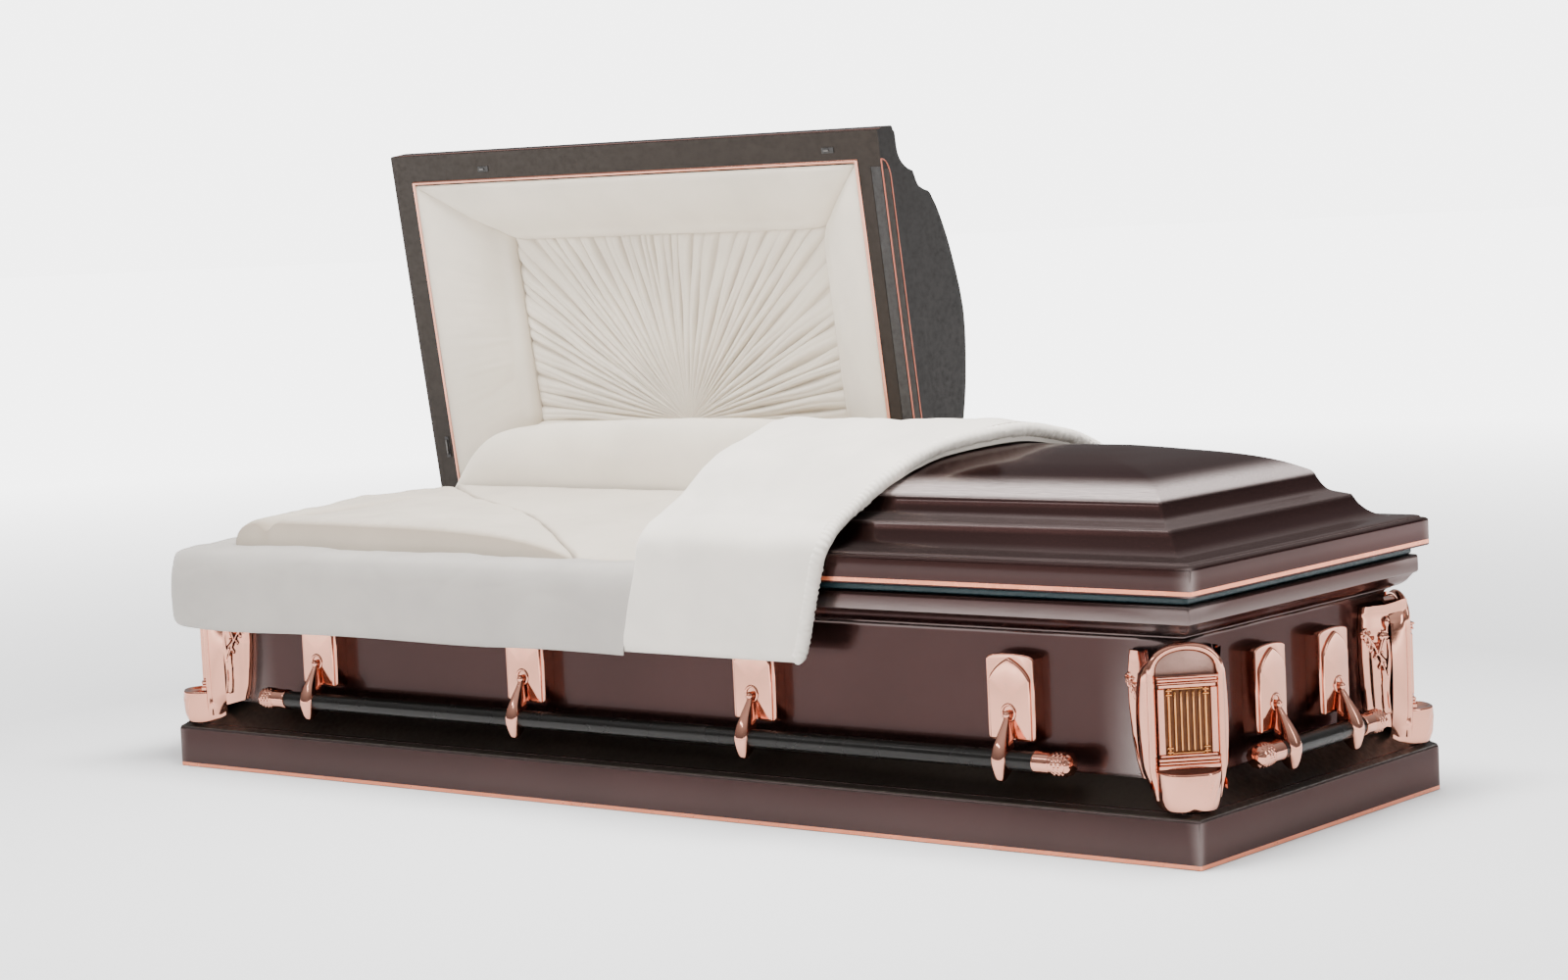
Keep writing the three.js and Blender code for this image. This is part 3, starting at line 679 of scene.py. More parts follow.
def make_puffs(name, node, head, matrix, body, seed):
    """Four padded slopes that meet in mitred seams, with painted shade along the seams and both long edges."""
    outer, inner = panel_corners(head, EDGE, 2.5), panel_corners(head, PANEL, DEPTH)
    build = Build()
    shade = []
    for k in range(4):
        o0, o1, i0, i1 = outer[k], outer[k - 3], inner[k], inner[k - 3]
        length = (o1 - o0).length
        out = (o1 - o0).cross(i0 + i1 - o0 - o1).normalized()
        if out.z > 0:
            out = -out

        def point(u, v):
            p = o0.lerp(o1, u).lerp(i0.lerp(i1, u), v)
            seam, lip = min(u, 1 - u) * length, min(v, 1 - v) * 130
            # Painted shade: darker along the mitred seams and along both long edges of each slope
            shade.append(0.55 * math.exp(-seam / 6.0) + 0.4 * math.exp(-lip / 6.0))
            pinch = 1 - math.exp(-seam / 26.0)
            rise = sin(pi * v) ** 0.55 * 17.0 * (0.25 + 0.75 * pinch)
            roll = 7.0 * math.exp(-(((v - 0.93) / 0.08) ** 2)) * pinch
            ripple = 2.2 * wave(p.x, p.y, p.z, 120.0, seed + k)
            ripple += 4.5 * billow(u * length, v * 120, 0, 150.0, seed + 2 * k)
            ripple += 0.8 * wave(u * length * 2.2, v * 40, 0, 26.0, seed - k)
            p = p + out * (rise + roll + ripple * sin(pi * v))
            return p.x, p.y, p.z + LID_Z

        build.add(*grid(30, 110, point))
    obj = build.put(name, IVORY_DEEP, body, "velvet", 60, matrix)
    set_shade(obj, "deep", shade)
    thicken(obj, 0.006, 0.0)
    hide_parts(node)


def make_sunburst():
    """Cloth gathered to the middle of the panel's lower edge, with painted shade between its folds."""
    shade = []
    x0, x1, y0, y1 = lid_bounds(True, *PANEL)
    cx, cy = (x0 + x1) / 2 - 8, y1 - 2
    folds = 46
    rng = np.random.default_rng(7)
    edges = np.cumsum(rng.uniform(0.55, 1.45, folds))
    edges = np.concatenate([[0], edges]) / edges[-1]
    heights = rng.uniform(0.6, 1.0, folds)

    def point(u, v):
        dx, dy = cos(pi * u), -sin(pi * u)
        limits = [(side - middle) / d for side, middle, d in ((x1, cx, dx), (x0, cx, dx), (y0, cy, dy))
                  if (side - middle) * d > 1e-3]
        reach = min(limits)
        r = 6 + (reach - 6) * v**1.15
        k = min(int(np.searchsorted(edges, u, "right")) - 1, folds - 1)
        w = (u - edges[k]) / (edges[k + 1] - edges[k]) + 0.10 * sin(r / 38.0 + 3.1 * k)
        w = min(1.0, max(0.0, w))
        crest = abs(sin(pi * w)) ** 0.62
        second = 0.22 * abs(sin(pi * (2 * w + 0.2 * sin(k)))) * smoothstep(90, 260, r)
        depth = 2.0 + 9.0 * smoothstep(10, 150, r) * (1 - 0.35 * smoothstep(240, 430, r))
        # Painted shade: darker in the valleys between the crests
        shade.append(0.55 * (1 - min(1.0, crest * heights[k] * 1.3)) ** 1.5)
        edge = min(1.0, (reach - r) / 14.0)
        x, y = cx + r * dx, cy + r * dy
        z = DEPTH - 1.0 - depth * heights[k] * (crest + second) * (0.35 + 0.65 * edge)
        return x, y, z - 3.0 * math.exp(-r / 30.0) - 2.0 * wave(x, y, 0, 110, 3.0) + LID_Z

    verts, faces = flipped(*grid(44, 820, point))
    obj = add_mesh("sunburst_cloth", verts, faces, IVORY_DEEP, "head_lid", "velvet", 80, OPENED)
    set_shade(obj, "deep", shade)
    thicken(obj, 0.0015, 1.0)
    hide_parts("sunburst_panel")
    corners = panel_corners(True, PANEL, LID_Z + DEPTH - 4.2)
    path = [a.lerp(b, (i + 0.5) / 24) for a, b in zip(corners, corners[1:] + corners[:1]) for i in range(24)]
    verts, faces = sweep(path, circle(2.2, 8), closed=True)
    obj = add_mesh("sunburst_piping", verts, faces, IVORY_DEEP, "head_lid", "velvet", 60, OPENED)


def make_foot_panel():
    """Gathered cloth over the inside of the foot lid."""
    x0, x1, y0, y1 = lid_bounds(False, *PANEL)

    def point(u, v):
        x, y = x0 + (x1 - x0) * u, y0 + (y1 - y0) * v
        w = (x - x0) / 13.0 + 0.3 * wave(x, y, 0, 40)
        z = DEPTH - 1.5 - 3.2 * abs(sin(pi * w)) ** 0.7 - 1.5 * wave(x, y, 0, 90, 5)
        return x, y, z + LID_Z

    verts, faces = flipped(*grid(24, 300, point))
    obj = add_mesh("foot_lid_cloth", verts, faces, IVORY_DEEP, "foot_lid", "velvet", 80)
    thicken(obj, 0.0015, 1.0)


# Bedding

BED_FRONT, BED_DEPTH, BED_LOW = -262.0, 498.0, 368.5
SEAM = [(-925, 236), (-860, 190), (-783, 144), (-680, 92), (-555, 36), (-450, -34), (-358, -106),
        (-260, -184), (-164, -262)]


def cushion(name, node, left, right, top, valley, seed, dips, wrinkle):
    """A closed pad. left and right give its sides' x at y. dips says how far the left,
    right, front and back edges fall and over what width, and valley how much lower the
    top is at (x, y)."""
    n_u, n_v = 150, 110
    upper, under, shade = [], [], []
    for j in range(n_v + 1):
        v = j / n_v
        y = BED_FRONT + BED_DEPTH * v
        x0, x1 = left(y), right(y)
        span = abs(x1 - x0)
        row = []
        for i in range(n_u + 1):
            u = i / n_u
            x = x0 + (x1 - x0) * u
            sides = (u * span, (1 - u) * span, v * BED_DEPTH, (1 - v) * BED_DEPTH)
            fall = 0.0
            near = 1.0
            for d, (drop, width) in zip(sides, dips):
                t = max(0.0, 1 - d / width)
                fall += drop * (1 - sqrt(max(0.0, 1 - t * t)))
                near = min(near, d / width)
            fold = wave(x, y, 0, 95.0, seed) + 1.7 * billow(x, y * 0.8, 0, 150.0, seed + 9)
            fold = near * (fold + 0.8 * billow(x, y, 0, 62.0, seed + 5))
            fold += 2.4 * wave(x * 1.5, y, 0, 28.0, seed + 4) * (1 - near) * near
            row.append((x, y, max(BED_LOW + 5, top(x, y) - fall) + wrinkle * fold - valley(x, y)))
            # Painted shade: darker at the pad's edges, where it falls away, and in the pillow's valley
            edge = 0.75 * math.exp(-min(sides) / 7.0) + 0.2 * (1 - near)
            shade.append(min(0.8, edge + 0.045 * valley(x, y)))
        upper.append(row)
        under.append([(x, y, BED_LOW + 0.3) for x, y, z in row])
    obj = add_mesh(name, *pad(upper, under), IVORY_BED, "body", "velvet", 70)
    set_shade(obj, "deep", shade + [0.0] * len(shade))
    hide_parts(node)
    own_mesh(obj)


def seam_at(y):
    """Where the pillow meets the bed cover."""
    return float(np.interp(y, [p[1] for p in SEAM[::-1]], [p[0] for p in SEAM[::-1]]))


def ramp(x, y):
    return 389 + 62 * (y - BED_FRONT) / BED_DEPTH


def pillow_valley(x, y):
    line = x + 905 - 0.30 * (y - BED_FRONT)
    return 15 * math.exp(-((line / 17) ** 2)) * smoothstep(170, -150, y)


def pillow_top(x, y):
    swell = 1 - math.exp(-max(0.0, seam_at(y) - x) / 120.0)
    crown = 452 - 14 * smoothstep(60, -240, y) - 6 * smoothstep(120, 236, y)
    return ramp(x, y) + 1.5 + (crown - ramp(x, y)) * swell


def make_bed():
    cushion("bed_cover_cloth", "bed_cover", lambda y: seam_at(y) + 0.6, lambda y: 100, ramp, lambda x, y: 0.0,
            2.0, ((7, 16), (10, 20), (6, 30), (3, 12)), 1.9)
    cushion("pillow_cloth", "pillow", lambda y: -984, lambda y: seam_at(y) - 0.6, pillow_top, pillow_valley,
            5.0, ((34, 70), (8, 22), (10, 40), (12, 40)), 3.6)


def make_mattress():
    """Tufted block that fills the body under the bed cover."""
    half_x, half_y, step_x, step_z = 985, 268, (110, 260), (368, 335)

    def point(u, v):
        x, y = half_x * (2 * u - 1), half_y * (2 * v - 1)
        edge = min(half_x - abs(x), half_y - abs(y))
        drop = 14 * (1 - min(1.0, edge / 20.0)) ** 2
        tuft = 3.0 * abs(sin(pi * (x + y) / 150.0) * sin(pi * (x - y) / 150.0)) ** 0.4 - 3.0
        return x, y, float(np.interp(x, step_x, step_z)) - drop + tuft

    build = Build()
    build.add(*grid(36, 160, point))
    walls = [rounded_rect(-half_x, half_x, -half_y, half_y, [4] * 4, z) for z in (2.5, 320)]
    build.add(*loft(walls, caps=False))
    obj = build.put("mattress_pad", IVORY, "body", "ticking", 60)
    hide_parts("mattress")


SKIRT_RIGHT, SKIRT_BACK = 2.0, 296.0
SKIRT_FRONT, SKIRT_END, SKIRT_CORNER = -372.0, -1078.0, 59.0


def skirt_path(steps=22):
    """Plan of the skirt's outer face from its right end round the corner to the back."""
    cx, cy = SKIRT_END + SKIRT_CORNER, SKIRT_FRONT + SKIRT_CORNER
    near_end = (0, 0.6, 2, 4.5, 8, 12, 17)
    right, back = SKIRT_RIGHT - near_end[-1], SKIRT_BACK - near_end[-1]
    xs = [SKIRT_RIGHT - s for s in near_end] + [right - (right - cx) * i / 150 for i in range(1, 150)]
    ys = [cy + (back - cy) * i / 80 for i in range(1, 80)] + [SKIRT_BACK - s for s in near_end[::-1]]
    turn = [-pi / 2 - (pi / 2) * i / steps for i in range(steps + 1)]
    out = [(x, SKIRT_FRONT, 0.0, -1.0) for x in xs]
    out += [(cx + SKIRT_CORNER * cos(a), cy + SKIRT_CORNER * sin(a), cos(a), sin(a)) for a in turn]
    return out + [(SKIRT_END, y, -1.0, 0.0) for y in ys]


def throw_left(z):
    """Left edge of the throw where it hangs beside the skirt."""
    return float(np.interp(z, [258, 291, 323, 378, 398], [8, 16, 28, 48, 54]))


def make_extendover():
    """Padded skirt: hem, outer face, roll over the rim, and the tongue that goes inside."""
    face = spline([(8.6, 257.2), (5.4, 259.4), (2.8, 264), (1.2, 273), (0.0, 292), (-0.6, 320), (0.2, 345),
                   (2.2, 362), (7.0, 376.6), (14.5, 386), (26, 392.4), (42, 395.6), (60, 396), (78, 393.5),
                   (90, 388), (93, 384.6)], 4)
    back = [(90, 383.7), (60, 383.6), (30, 383.6), (16, 383.3), (12.8, 380), (12, 374), (11.8, 330),
            (11.6, 285), (11.2, 262), (9.6, 257.8)]
    middle = 6.2
    rings = []
    path = skirt_path()
    runs = travelled([p[:2] for p in path])
    for run, (x, y, nx, ny) in zip(runs, path):
        body = quarter(run / 4.0) * quarter((runs[-1] - run) / 12.0)
        at_corner = math.exp(-(((run - 1110) / 90) ** 2))
        ring = []
        for k, (d, z) in enumerate(face + back):
            depth, height = d, z
            if k < len(face):
                puff = 2.4 * wave(run, z * 1.3, 0, 150, 1.0) + 1.6 * wave(run, z, 0, 52, 6.0)
                puff += 4.5 * billow(run, z * 1.4, 0, 210, 21.0) + 2.6 * billow(run, z * 1.2, 0, 85, 3.0)
                pucker = 1.8 * wave(run, z * 0.4, 0, 15, 4.0) * math.exp(-(z - 257) / 16.0)
                outside = smoothstep(396, 372, z)
                depth = d + (2.6 - puff - pucker) * outside
                depth = min(depth, 10.5) if z < 374 else depth
                height = z + (1.3 * puff - 4 * at_corner) * (1 - outside)
            low = smoothstep(330, 257, z)
            height -= low * (4.5 + 5 * wave(run, 0, 0, 260, 2.2) - 7 * at_corner)
            if z < 376:
                depth = middle + (depth - middle) * body
            else:
                height = 385 + (height - 385) * body
            if z < 300:
                height += (1 - body) * 4.0
            aside = (throw_left(z) + 8.0) * math.exp(-run / 60.0)
            ring.append((x - nx * depth + aside, y - ny * depth, height))
        rings.append(ring)
    verts, faces = loft(rings)
    obj = add_mesh("extendover_skirt", verts, faces, IVORY_SKIRT, "body", "velvet", 70)
    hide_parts("extendover")
    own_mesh(obj)


ROLL_RUN = [(-956, 412), (-950, 436), (-932, 464), (-912, 492), (-885, 520), (-845, 543), (-780, 557),
            (-700, 565), (-500, 572), (-330, 576), (-160, 575), (-60, 572), (-12, 562), (0, 536)]


def make_back_roll():
    low = LID_Z + 0.8
    rings = []
    for x, top in spline(ROLL_RUN, 8):
        mid, half = (low + top) / 2, (top - low) / 2
        ring = []
        for i in range(44):
            a = 2 * pi * i / 44
            u, w = powered(cos(a), 0.8), powered(sin(a), 0.8)
            pull = 1 + 0.018 * wave(x, a * 60, 0, 70, 4.0)
            y = 283 + 37 * u * pull - 2.5 * wave(x, w * 100, 0, 120, 8) - 5 * billow(x, w * 150, 0, 190, 14.0)
            ring.append((x, min(320.5, max(245.5, y)), mid + half * w * (2 - pull) * 0.992))
        rings.append(ring)
    verts, faces = loft(rings)
    obj = add_mesh("back_roll_cloth", verts, faces, IVORY_DEEP, "body", "velvet", 70)
    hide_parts("back_roll")
    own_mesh(obj)


# Throw: stations as in the source (inset, height, outward direction, left edge, right
# edge, thickness)
THROW_RUN = [
    (0, -125, -1, 0, 8, 374, 18), (0, -92, -1, 0, 16, 388, 20), (0, -60, -1, 0.06, 28, 398, 23),
    (0, -5, -0.95, 0.3, 48, 416, 28), (0, 36, -0.84, 0.54, 58, 430, 31), (17, 56, -0.70, 0.71, 60, 431, 31),
    (46, 74, -0.57, 0.82, 61, 427, 26), (87, 97, -0.56, 0.83, 64, 432, 24),
    (130, 128, -0.54, 0.84, 68, 452, 26), (160, 142, -0.42, 0.91, 70, 461, 28),
    (191, 153, -0.3, 0.95, 72, 467, 30), (254, 169, -0.15, 0.99, 72, 485, 32),
    (346, 182, 0, 1, 64, 545, 34), (438, 169, 0.15, 0.99, 60, 560, 32),
    (501, 153, 0.3, 0.95, 60, 564, 29), (562, 127, 0.56, 0.83, 60, 566, 24),
    (605, 88, 0.62, 0.78, 60, 566, 18),
]


def throw_stations():
    out = []
    for d, z, ny, nz, left, right, thick in spline(THROW_RUN, 9):
        k = math.hypot(ny, nz)
        out.append((d - HINGE_Y, z + LID_Z, ny / k, nz / k, left, right, thick))
    return out


def quarter(t):
    """Height of a round edge at distance t, both as shares of its radius."""
    t = min(1.0, max(0.0, t))
    return sqrt(max(0.0, t * (2 - t)))


def make_throw():
    stations = throw_stations()
    n = 70
    near = 2.2
    upper, under = [], []
    runs = travelled([p[:2] for p in stations])
    for run, (y, z, ny, nz, left, right, thick) in zip(runs, stations):
        end = quarter(run / 14.0) * quarter((runs[-1] - run) / 14.0)
        row_a, row_b = [], []
        for i in range(n + 1):
            u = (1 - cos(pi * i / n)) / 2
            x = left + (right - 11 - left) * u
            edge = quarter((x - left) / 13.0) * end
            slump = 5.0 * smoothstep(right - 70, right - 11, x)
            soft = 2.2 * wave(x, run, 0, 120, 9.0) + 1.3 * wave(x, run * 1.4, 0, 46, 12.0)
            soft += 6.0 * billow(x * 1.3, run * 0.8, 0, 170, 31.0) + 3.4 * billow(x, run * 0.7, 0, 75, 5.0)
            soft += 1.6 * math.exp(-run / 45.0) * wave(x, run * 0.5, 0, 20, 15.0)
            t = near + 2 + (thick - 2 - slump + soft) * edge
            row_a.append((x, y + ny * t, z + nz * t))
            low = near + 1.5 * (1 - edge)
            row_b.append((x, y + ny * low, z + nz * low))
        upper.append(row_a)
        under.append(row_b)
    obj = add_mesh("throw_cloth", *pad(upper, under), IVORY, "foot_lid", "velvet", 70)
    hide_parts("throw")
    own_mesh(obj)
    make_welt(stations)


def make_welt(stations):
    """Shirred roll along the throw's right edge."""
    path, normals = [], []
    for y, z, ny, nz, left, right, thick in stations:
        lift = thick * 0.62
        path.append(Vector((right - 11, y + ny * lift, z + nz * lift)))
        normals.append(Vector((0, ny, nz)))
    fine, fine_n = [], []
    for k in range(len(path) - 1):
        for s in range(5):
            fine.append(path[k].lerp(path[k + 1], s / 5))
            fine_n.append(normals[k].lerp(normals[k + 1], s / 5).normalized())
    rings = []
    sides = 20
    for k, (run, p) in enumerate(zip(travelled(fine), fine)):
        along = fine[min(k + 1, len(fine) - 1)] - fine[max(k - 1, 0)]
        side = along.cross(fine_n[k]).normalized()
        over = side.cross(along).normalized()
        taper = min(1.0, 0.35 + run / 14.0, 0.35 + (len(fine) - 1 - k) / 8.0)
        ring = []
        for i in range(sides):
            t = 2 * pi * i / sides
            under = 0.5 - 0.5 * sin(t)
            shirr = 1 + 0.05 * sin(2 * pi * run / 9.0 + 2 * wave(run, t * 20, 0, 30, 3))
            shirr += 0.22 * under * wave(run, t * 6, 0, 7.0, 8.0)
            r = 10.4 * taper * shirr
            ring.append(tuple(p + side * (r * cos(t)) + over * (r * 1.05 * sin(t))))
        rings.append(ring)
    verts, faces = loft(rings)
    obj = add_mesh("throw_welt", verts, faces, IVORY, "foot_lid", "velvet", 80)
    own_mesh(obj)


# Swing-bar hardware, drawn for the front: x along the wall, -y outwards

PIVOT_INSET, PIVOT_Z = 30.0, 196.0
BAR_DROP, BAR_OUT, BAR_RADIUS = 62.0, 20.0, 14.5
LUG_BOTTOM, LUG_WIDTH, LUG_HEIGHT, LUG_DEPTH = 157.0, 84.0, 130.0, 26.0
TIP_LENGTH, SIDE_BAR_HALF, END_BAR_HALF = 67.0, 852.0, 185.0
SIDE_LUG_X = (-727.5, -242.5, 242.5, 727.5)
END_LUG_Y = (-91.5, 91.5)


def gothic(half, foot, spring, top, n=12):
    """Outline of a pointed arch, from its right foot over the point to its left foot."""
    right, left = [], []
    for i in range(n + 1):
        t = i / n
        x = half * (1 - t**1.5)
        z = spring + (top - spring) * sin(0.95 * t) / sin(0.95)
        right.append((x, z))
        if i < n:
            left.insert(0, (-x, z))
    return [(half, foot)] + right + left + [(-half, foot)]


def plate(outline, back, front, bevel, steps=4, center=(0, 60), dome=0.0):
    """Extrudes an outline (x, z) from y=-back to y=-front with a rounded front edge and a
    face that is dome higher in the middle."""
    cx, cz = center
    rings = [[(x, -back, z) for x, z in outline]]
    span_x = max(abs(x - cx) for x, z in outline)
    span_z = max(abs(z - cz) for x, z in outline)
    for i in range(steps + 1):
        a = (pi / 2) * i / steps
        inset = bevel * (1 - cos(a))
        depth = front - bevel + bevel * sin(a)
        rings.append([(cx + (x - cx) * (1 - inset / span_x), -depth, cz + (z - cz) * (1 - inset / span_z))
                      for x, z in outline])
    if dome:
        edge = rings[-1]
        for k in (0.92, 0.8, 0.66, 0.5, 0.34, 0.18, 0.06):
            rings.append([(cx + (x - cx) * k, y - dome * (1 - k * k), cz + (z - cz) * k) for x, y, z in edge])
    return loft(rings)


def lug_outline():
    half = LUG_WIDTH / 2
    points = [(-half + 6, 0), (half - 6, 0), (half - 1.8, 1.8), (half, 6)]
    for i in range(25):
        x = half * cos(pi * i / 24)
        points.append((x, LUG_HEIGHT - 4 * (x / half) ** 2 - 4 * abs(x / half) ** 12))
    points += [(-half, 6), (-half + 1.8, 1.8)]
    return points


def make_lug_mesh():
    """Cast plate with a raised pointed arch, an eye for the ball and a slot under it."""
    pivot = PIVOT_Z - LUG_BOTTOM
    build = Build()
    build.add(*plate(lug_outline(), 0.3, LUG_DEPTH - 1.5, 2.6, 5))
    arch = gothic(LUG_WIDTH / 2 - 5.5, 2.5, 90, LUG_HEIGHT - 6)
    build.add(*plate(arch, LUG_DEPTH - 6, LUG_DEPTH + 2.6, 3.6, 7, (0, 60), 2.4))
    mesh = build.mesh("lug_plate")
    body = bpy.data.objects.new("lug_work", mesh)
    scene.collection.objects.link(body)
    slot = 9.0
    cut_build = Build()
    cut_build.add(*box_part(-slot, slot, -LUG_DEPTH - 10, -9, -6, pivot - 2, 0.5))
    cutter = bpy.data.objects.new("lug_cut", cut_build.mesh("lug_cut"))
    scene.collection.objects.link(cutter)
    union = body.modifiers.new("cut", "BOOLEAN")
    union.operation = "DIFFERENCE"
    union.object = cutter
    union.solver = "EXACT"
    union.use_self = True
    bpy.context.view_layer.update()
    done = bpy.data.meshes.new_from_object(body.evaluated_get(bpy.context.evaluated_depsgraph_get()))
    bpy.data.objects.remove(body)
    bpy.data.objects.remove(cutter)
    extra = Build()
    turns = [2 * pi * i / 28 for i in range(28)]
    ring = [(11 * cos(a), -LUG_DEPTH - 4.4, pivot + 4 + 12 * sin(a)) for a in turns]
    extra.add(*sweep(ring, circle(2.6, 12), up=Vector((0, -1, 0)), closed=True))
    bm = bmesh.new()
    bm.from_mesh(done)
    bm.from_mesh(extra.mesh("balls"))
    bm.to_mesh(done)
    bm.free()
    done.name = "lug_plate"
    return done


def make_arm_mesh():
    """Leaf-shaped lever that hangs from the ball on the lug and holds the bar.
    Each station: distance down the lever, shift outwards, half depth, half width."""
    stations = spline([(3, 6, 3.4, 3.8), (10, 6.0, 5.4, 5.4), (20, 5.6, 8.6, 7.2), (34, 4.8, 13.6, 10.2),
                       (48, 3.8, 18.2, 13.0), (60, 3.2, 20.0, 14.2), (72, 2.8, 19.0, 13.6), (82, 2, 15.0, 11.4),
                       (91, 1, 9.6, 8.4), (96.5, 0.5, 5.0, 5.2), (98.0, 0.2, 1.2, 1.6)], 4)
    length = math.hypot(BAR_OUT, BAR_DROP)
    ay, az = -BAR_OUT / length, -BAR_DROP / length
    n = 36
    rings = []
    for s, shift, deep, wide in stations:
        ring = []
        for i in range(n):
            a = 2 * pi * i / n
            x, d = wide * powered(sin(a), 0.72), shift + deep * powered(cos(a), 0.84)
            ring.append((x, ay * s + az * d, az * s - ay * d))
        rings.append(ring)
    build = Build()
    build.add(*loft(rings))
    build.add(*sphere((0, -7.5, 1.5), 6.6, 16))
    return build.mesh("arm_lever")


def make_tip_mesh():
    """Cast end of a bar along +X from its inner end."""
    points = [(0, 14.6), (0, 16.2), (1, 16.9), (3, 17.1), (14, 16.6), (26, 16.9), (28, 16.9), (29, 15.6),
              (31, 15.6), (32, 17.0), (33.5, 17.6), (34.5, 17.6)]
    points += [(35 + 0.75 * i, 17.9) for i in range(25)]
    points += [(54, 17.4), (55, 15.8), (56.5, 15.2), (57.5, 16.2), (60, 16.0), (62, 14.4), (64, 11.6),
               (65.8, 7.0), (66.8, 2.6), (66.9, 0.4)]

    def lobes(x, a):
        if 34.8 < x < 53.5:
            return 0.075 * abs(cos(6.5 * a + 0.42 * x)) * abs(cos(6.5 * a - 0.42 * x)) - 0.03
        if 57 < x < 65:
            return 0.035 * cos(10 * a)
        return 0.0

    build = Build()
    build.add(*lathe(points, 104, lobes))
    return build.mesh("bar_tip")


SIDES = {
    "front": (0, HALF_Y, SIDE_LUG_X, SIDE_BAR_HALF, ("head", "foot")),
    "back": (180, HALF_Y, SIDE_LUG_X, SIDE_BAR_HALF, ("foot", "head")),
    "foot": (90, HALF_X, END_LUG_Y, END_BAR_HALF, ("front", "back")),
    "head": (-90, HALF_X, END_LUG_Y, END_BAR_HALF, ("back", "front")),
}


def make_bars():
    lug, arm, tip = make_lug_mesh(), make_arm_mesh(), make_tip_mesh()
    for side, (turn, half, spots, bar_half, ends) in SIDES.items():
        body = "swing_bar_" + side
        rot = Matrix.Rotation(radians(turn), 4, "Z")

        def at(x, y, z, extra=Matrix.Identity(4)):
            return rot @ Matrix.Translation((x * MM, y * MM, z * MM)) @ extra

        pivot_y = -half + PIVOT_INSET
        bar_y, bar_z = pivot_y - BAR_OUT, PIVOT_Z - BAR_DROP
        inner = bar_half - TIP_LENGTH
        rod = [(-inner - 4, 0.5), (-inner - 4, BAR_RADIUS - 0.3)]
        rod += [(inner * (i / 30 - 1), BAR_RADIUS) for i in range(61)]
        rod += [(inner + 4, BAR_RADIUS - 0.3), (inner + 4, 0.5)]
        build = Build()
        build.add(*lathe(rod, 40))
        obj = build.put("bar_tube_" + side, BLACK, body, "bar", 32, at(0, bar_y, bar_z))
        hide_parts("bar_" + side)
        for i, end in enumerate(ends):
            flip = Matrix.Rotation(pi if i == 0 else 0, 4, "Z")
            sign = -1 if i == 0 else 1
            place = at(sign * (inner + 0.3), bar_y, bar_z, flip)
            obj = add_object("bar_tip_%s_%s" % (side, end), tip, COPPER, body, "copper_plate", 30, place)
            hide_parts("tip_%s_%s" % (side, end))
        for i, x in enumerate(spots):
            label = "%s_%d" % (side, i + 1)
            place = at(x, -half + WALL_INSET, LUG_BOTTOM)
            obj = add_object("lug_plate_" + label, lug, COPPER, "body", "copper_plate", 34, place)
            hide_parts("lug_" + label)
            obj = add_object("arm_paddle_" + label, arm, COPPER, body, "copper_plate", 34,
                             at(x, pivot_y, PIVOT_Z))
            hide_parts("arm_" + label)


# Corner castings: x and y both outwards from the wall's corner; q runs out along
# the diagonal and h across it

FACE_Q = 31 / sqrt(2)
FACE_HALF = 52.0
ARCH_SPRING, ARCH_TOP = 272.0, 314.0


def qh(q, h, z):
    return ((q + h) / sqrt(2), (q - h) / sqrt(2), z)


def wing_curve():
    """Plan of the wing from its far edge to the frame, as (x, y) on the -x side."""
    return spline([(-87, 1.0), (-86.5, 8), (-80, 11.5), (-66, 15), (-50, 24), (-36, 37), (-27, 45),
                   (-22, 50.5)], 6)


def wing_width(z):
    """Share of the wing's full width at a height."""
    return float(np.interp(z, [100, 115, 140, 175, 220, 265, 290, 304, 314],
                           [0.60, 0.70, 0.83, 0.93, 0.99, 1.0, 0.95, 0.84, 0.70]))


def capsule(px, pz, ax, az, bx, bz, r):
    dx, dz = bx - ax, bz - az
    t = max(0.0, min(1.0, ((px - ax) * dx + (pz - az) * dz) / (dx * dx + dz * dz)))
    d = math.hypot(px - ax - t * dx, pz - az - t * dz)
    return sqrt(max(0.0, 1 - (d / r) ** 2))


def figure_relief(s, z):
    """Low relief on a wing: a standing robed figure with a branch. s runs from the far
    edge to the frame, z is the height."""
    h = 0.0
    fx = 52.0
    top, foot = 262.0, 132.0
    if foot < z < top:
        t = (z - foot) / (top - foot)
        half = 15.0 - 5.5 * t + 2.5 * sin(pi * t)
        lean = fx + 3.0 * sin(pi * t)
        u = (s - lean) / half
        if abs(u) < 1:
            fold = 0.5 + 0.5 * cos(9.0 * u + 2.2 * sin(z / 21.0))
            h = max(h, 5.2 * sqrt(1 - u * u) * (0.72 + 0.28 * fold * (1 - 0.6 * t)))
    limbs = [(5.6, -9, 252, 9, 252, 7.0), (4.6, 0, 258, 0, 266, 4.0), (6.4, 0.5, 271, -0.5, 275, 7.6),
             (5.9, -9, 250, -17, 226, 4.0), (5.9, -17, 226, -5, 214, 3.4), (5.6, 9, 250, 13, 224, 4.0)]
    for high, xa, za, xb, zb, r in limbs:
        h = max(h, high * capsule(s, z, fx + xa, za, fx + xb, zb, r))
    for k in range(14):
        a, b = k / 14, (k + 1) / 14
        xa, za = 4 + 52 * a, 262 - 22 * a - 70 * a**2.2
        xb, zb = 4 + 52 * b, 262 - 22 * b - 70 * b**2.2
        h = max(h, 4.4 * capsule(s, z, xa, za, xb, zb, 2.6))
        if k % 2 == 0:
            for sign in (-1, 1):
                ang = math.atan2(zb - za, xb - xa) + sign * 0.9
                h = max(h, 3.4 * capsule(s, z, xa, za, xa + 9 * cos(ang), za + 9 * sin(ang), 2.6))
    return h


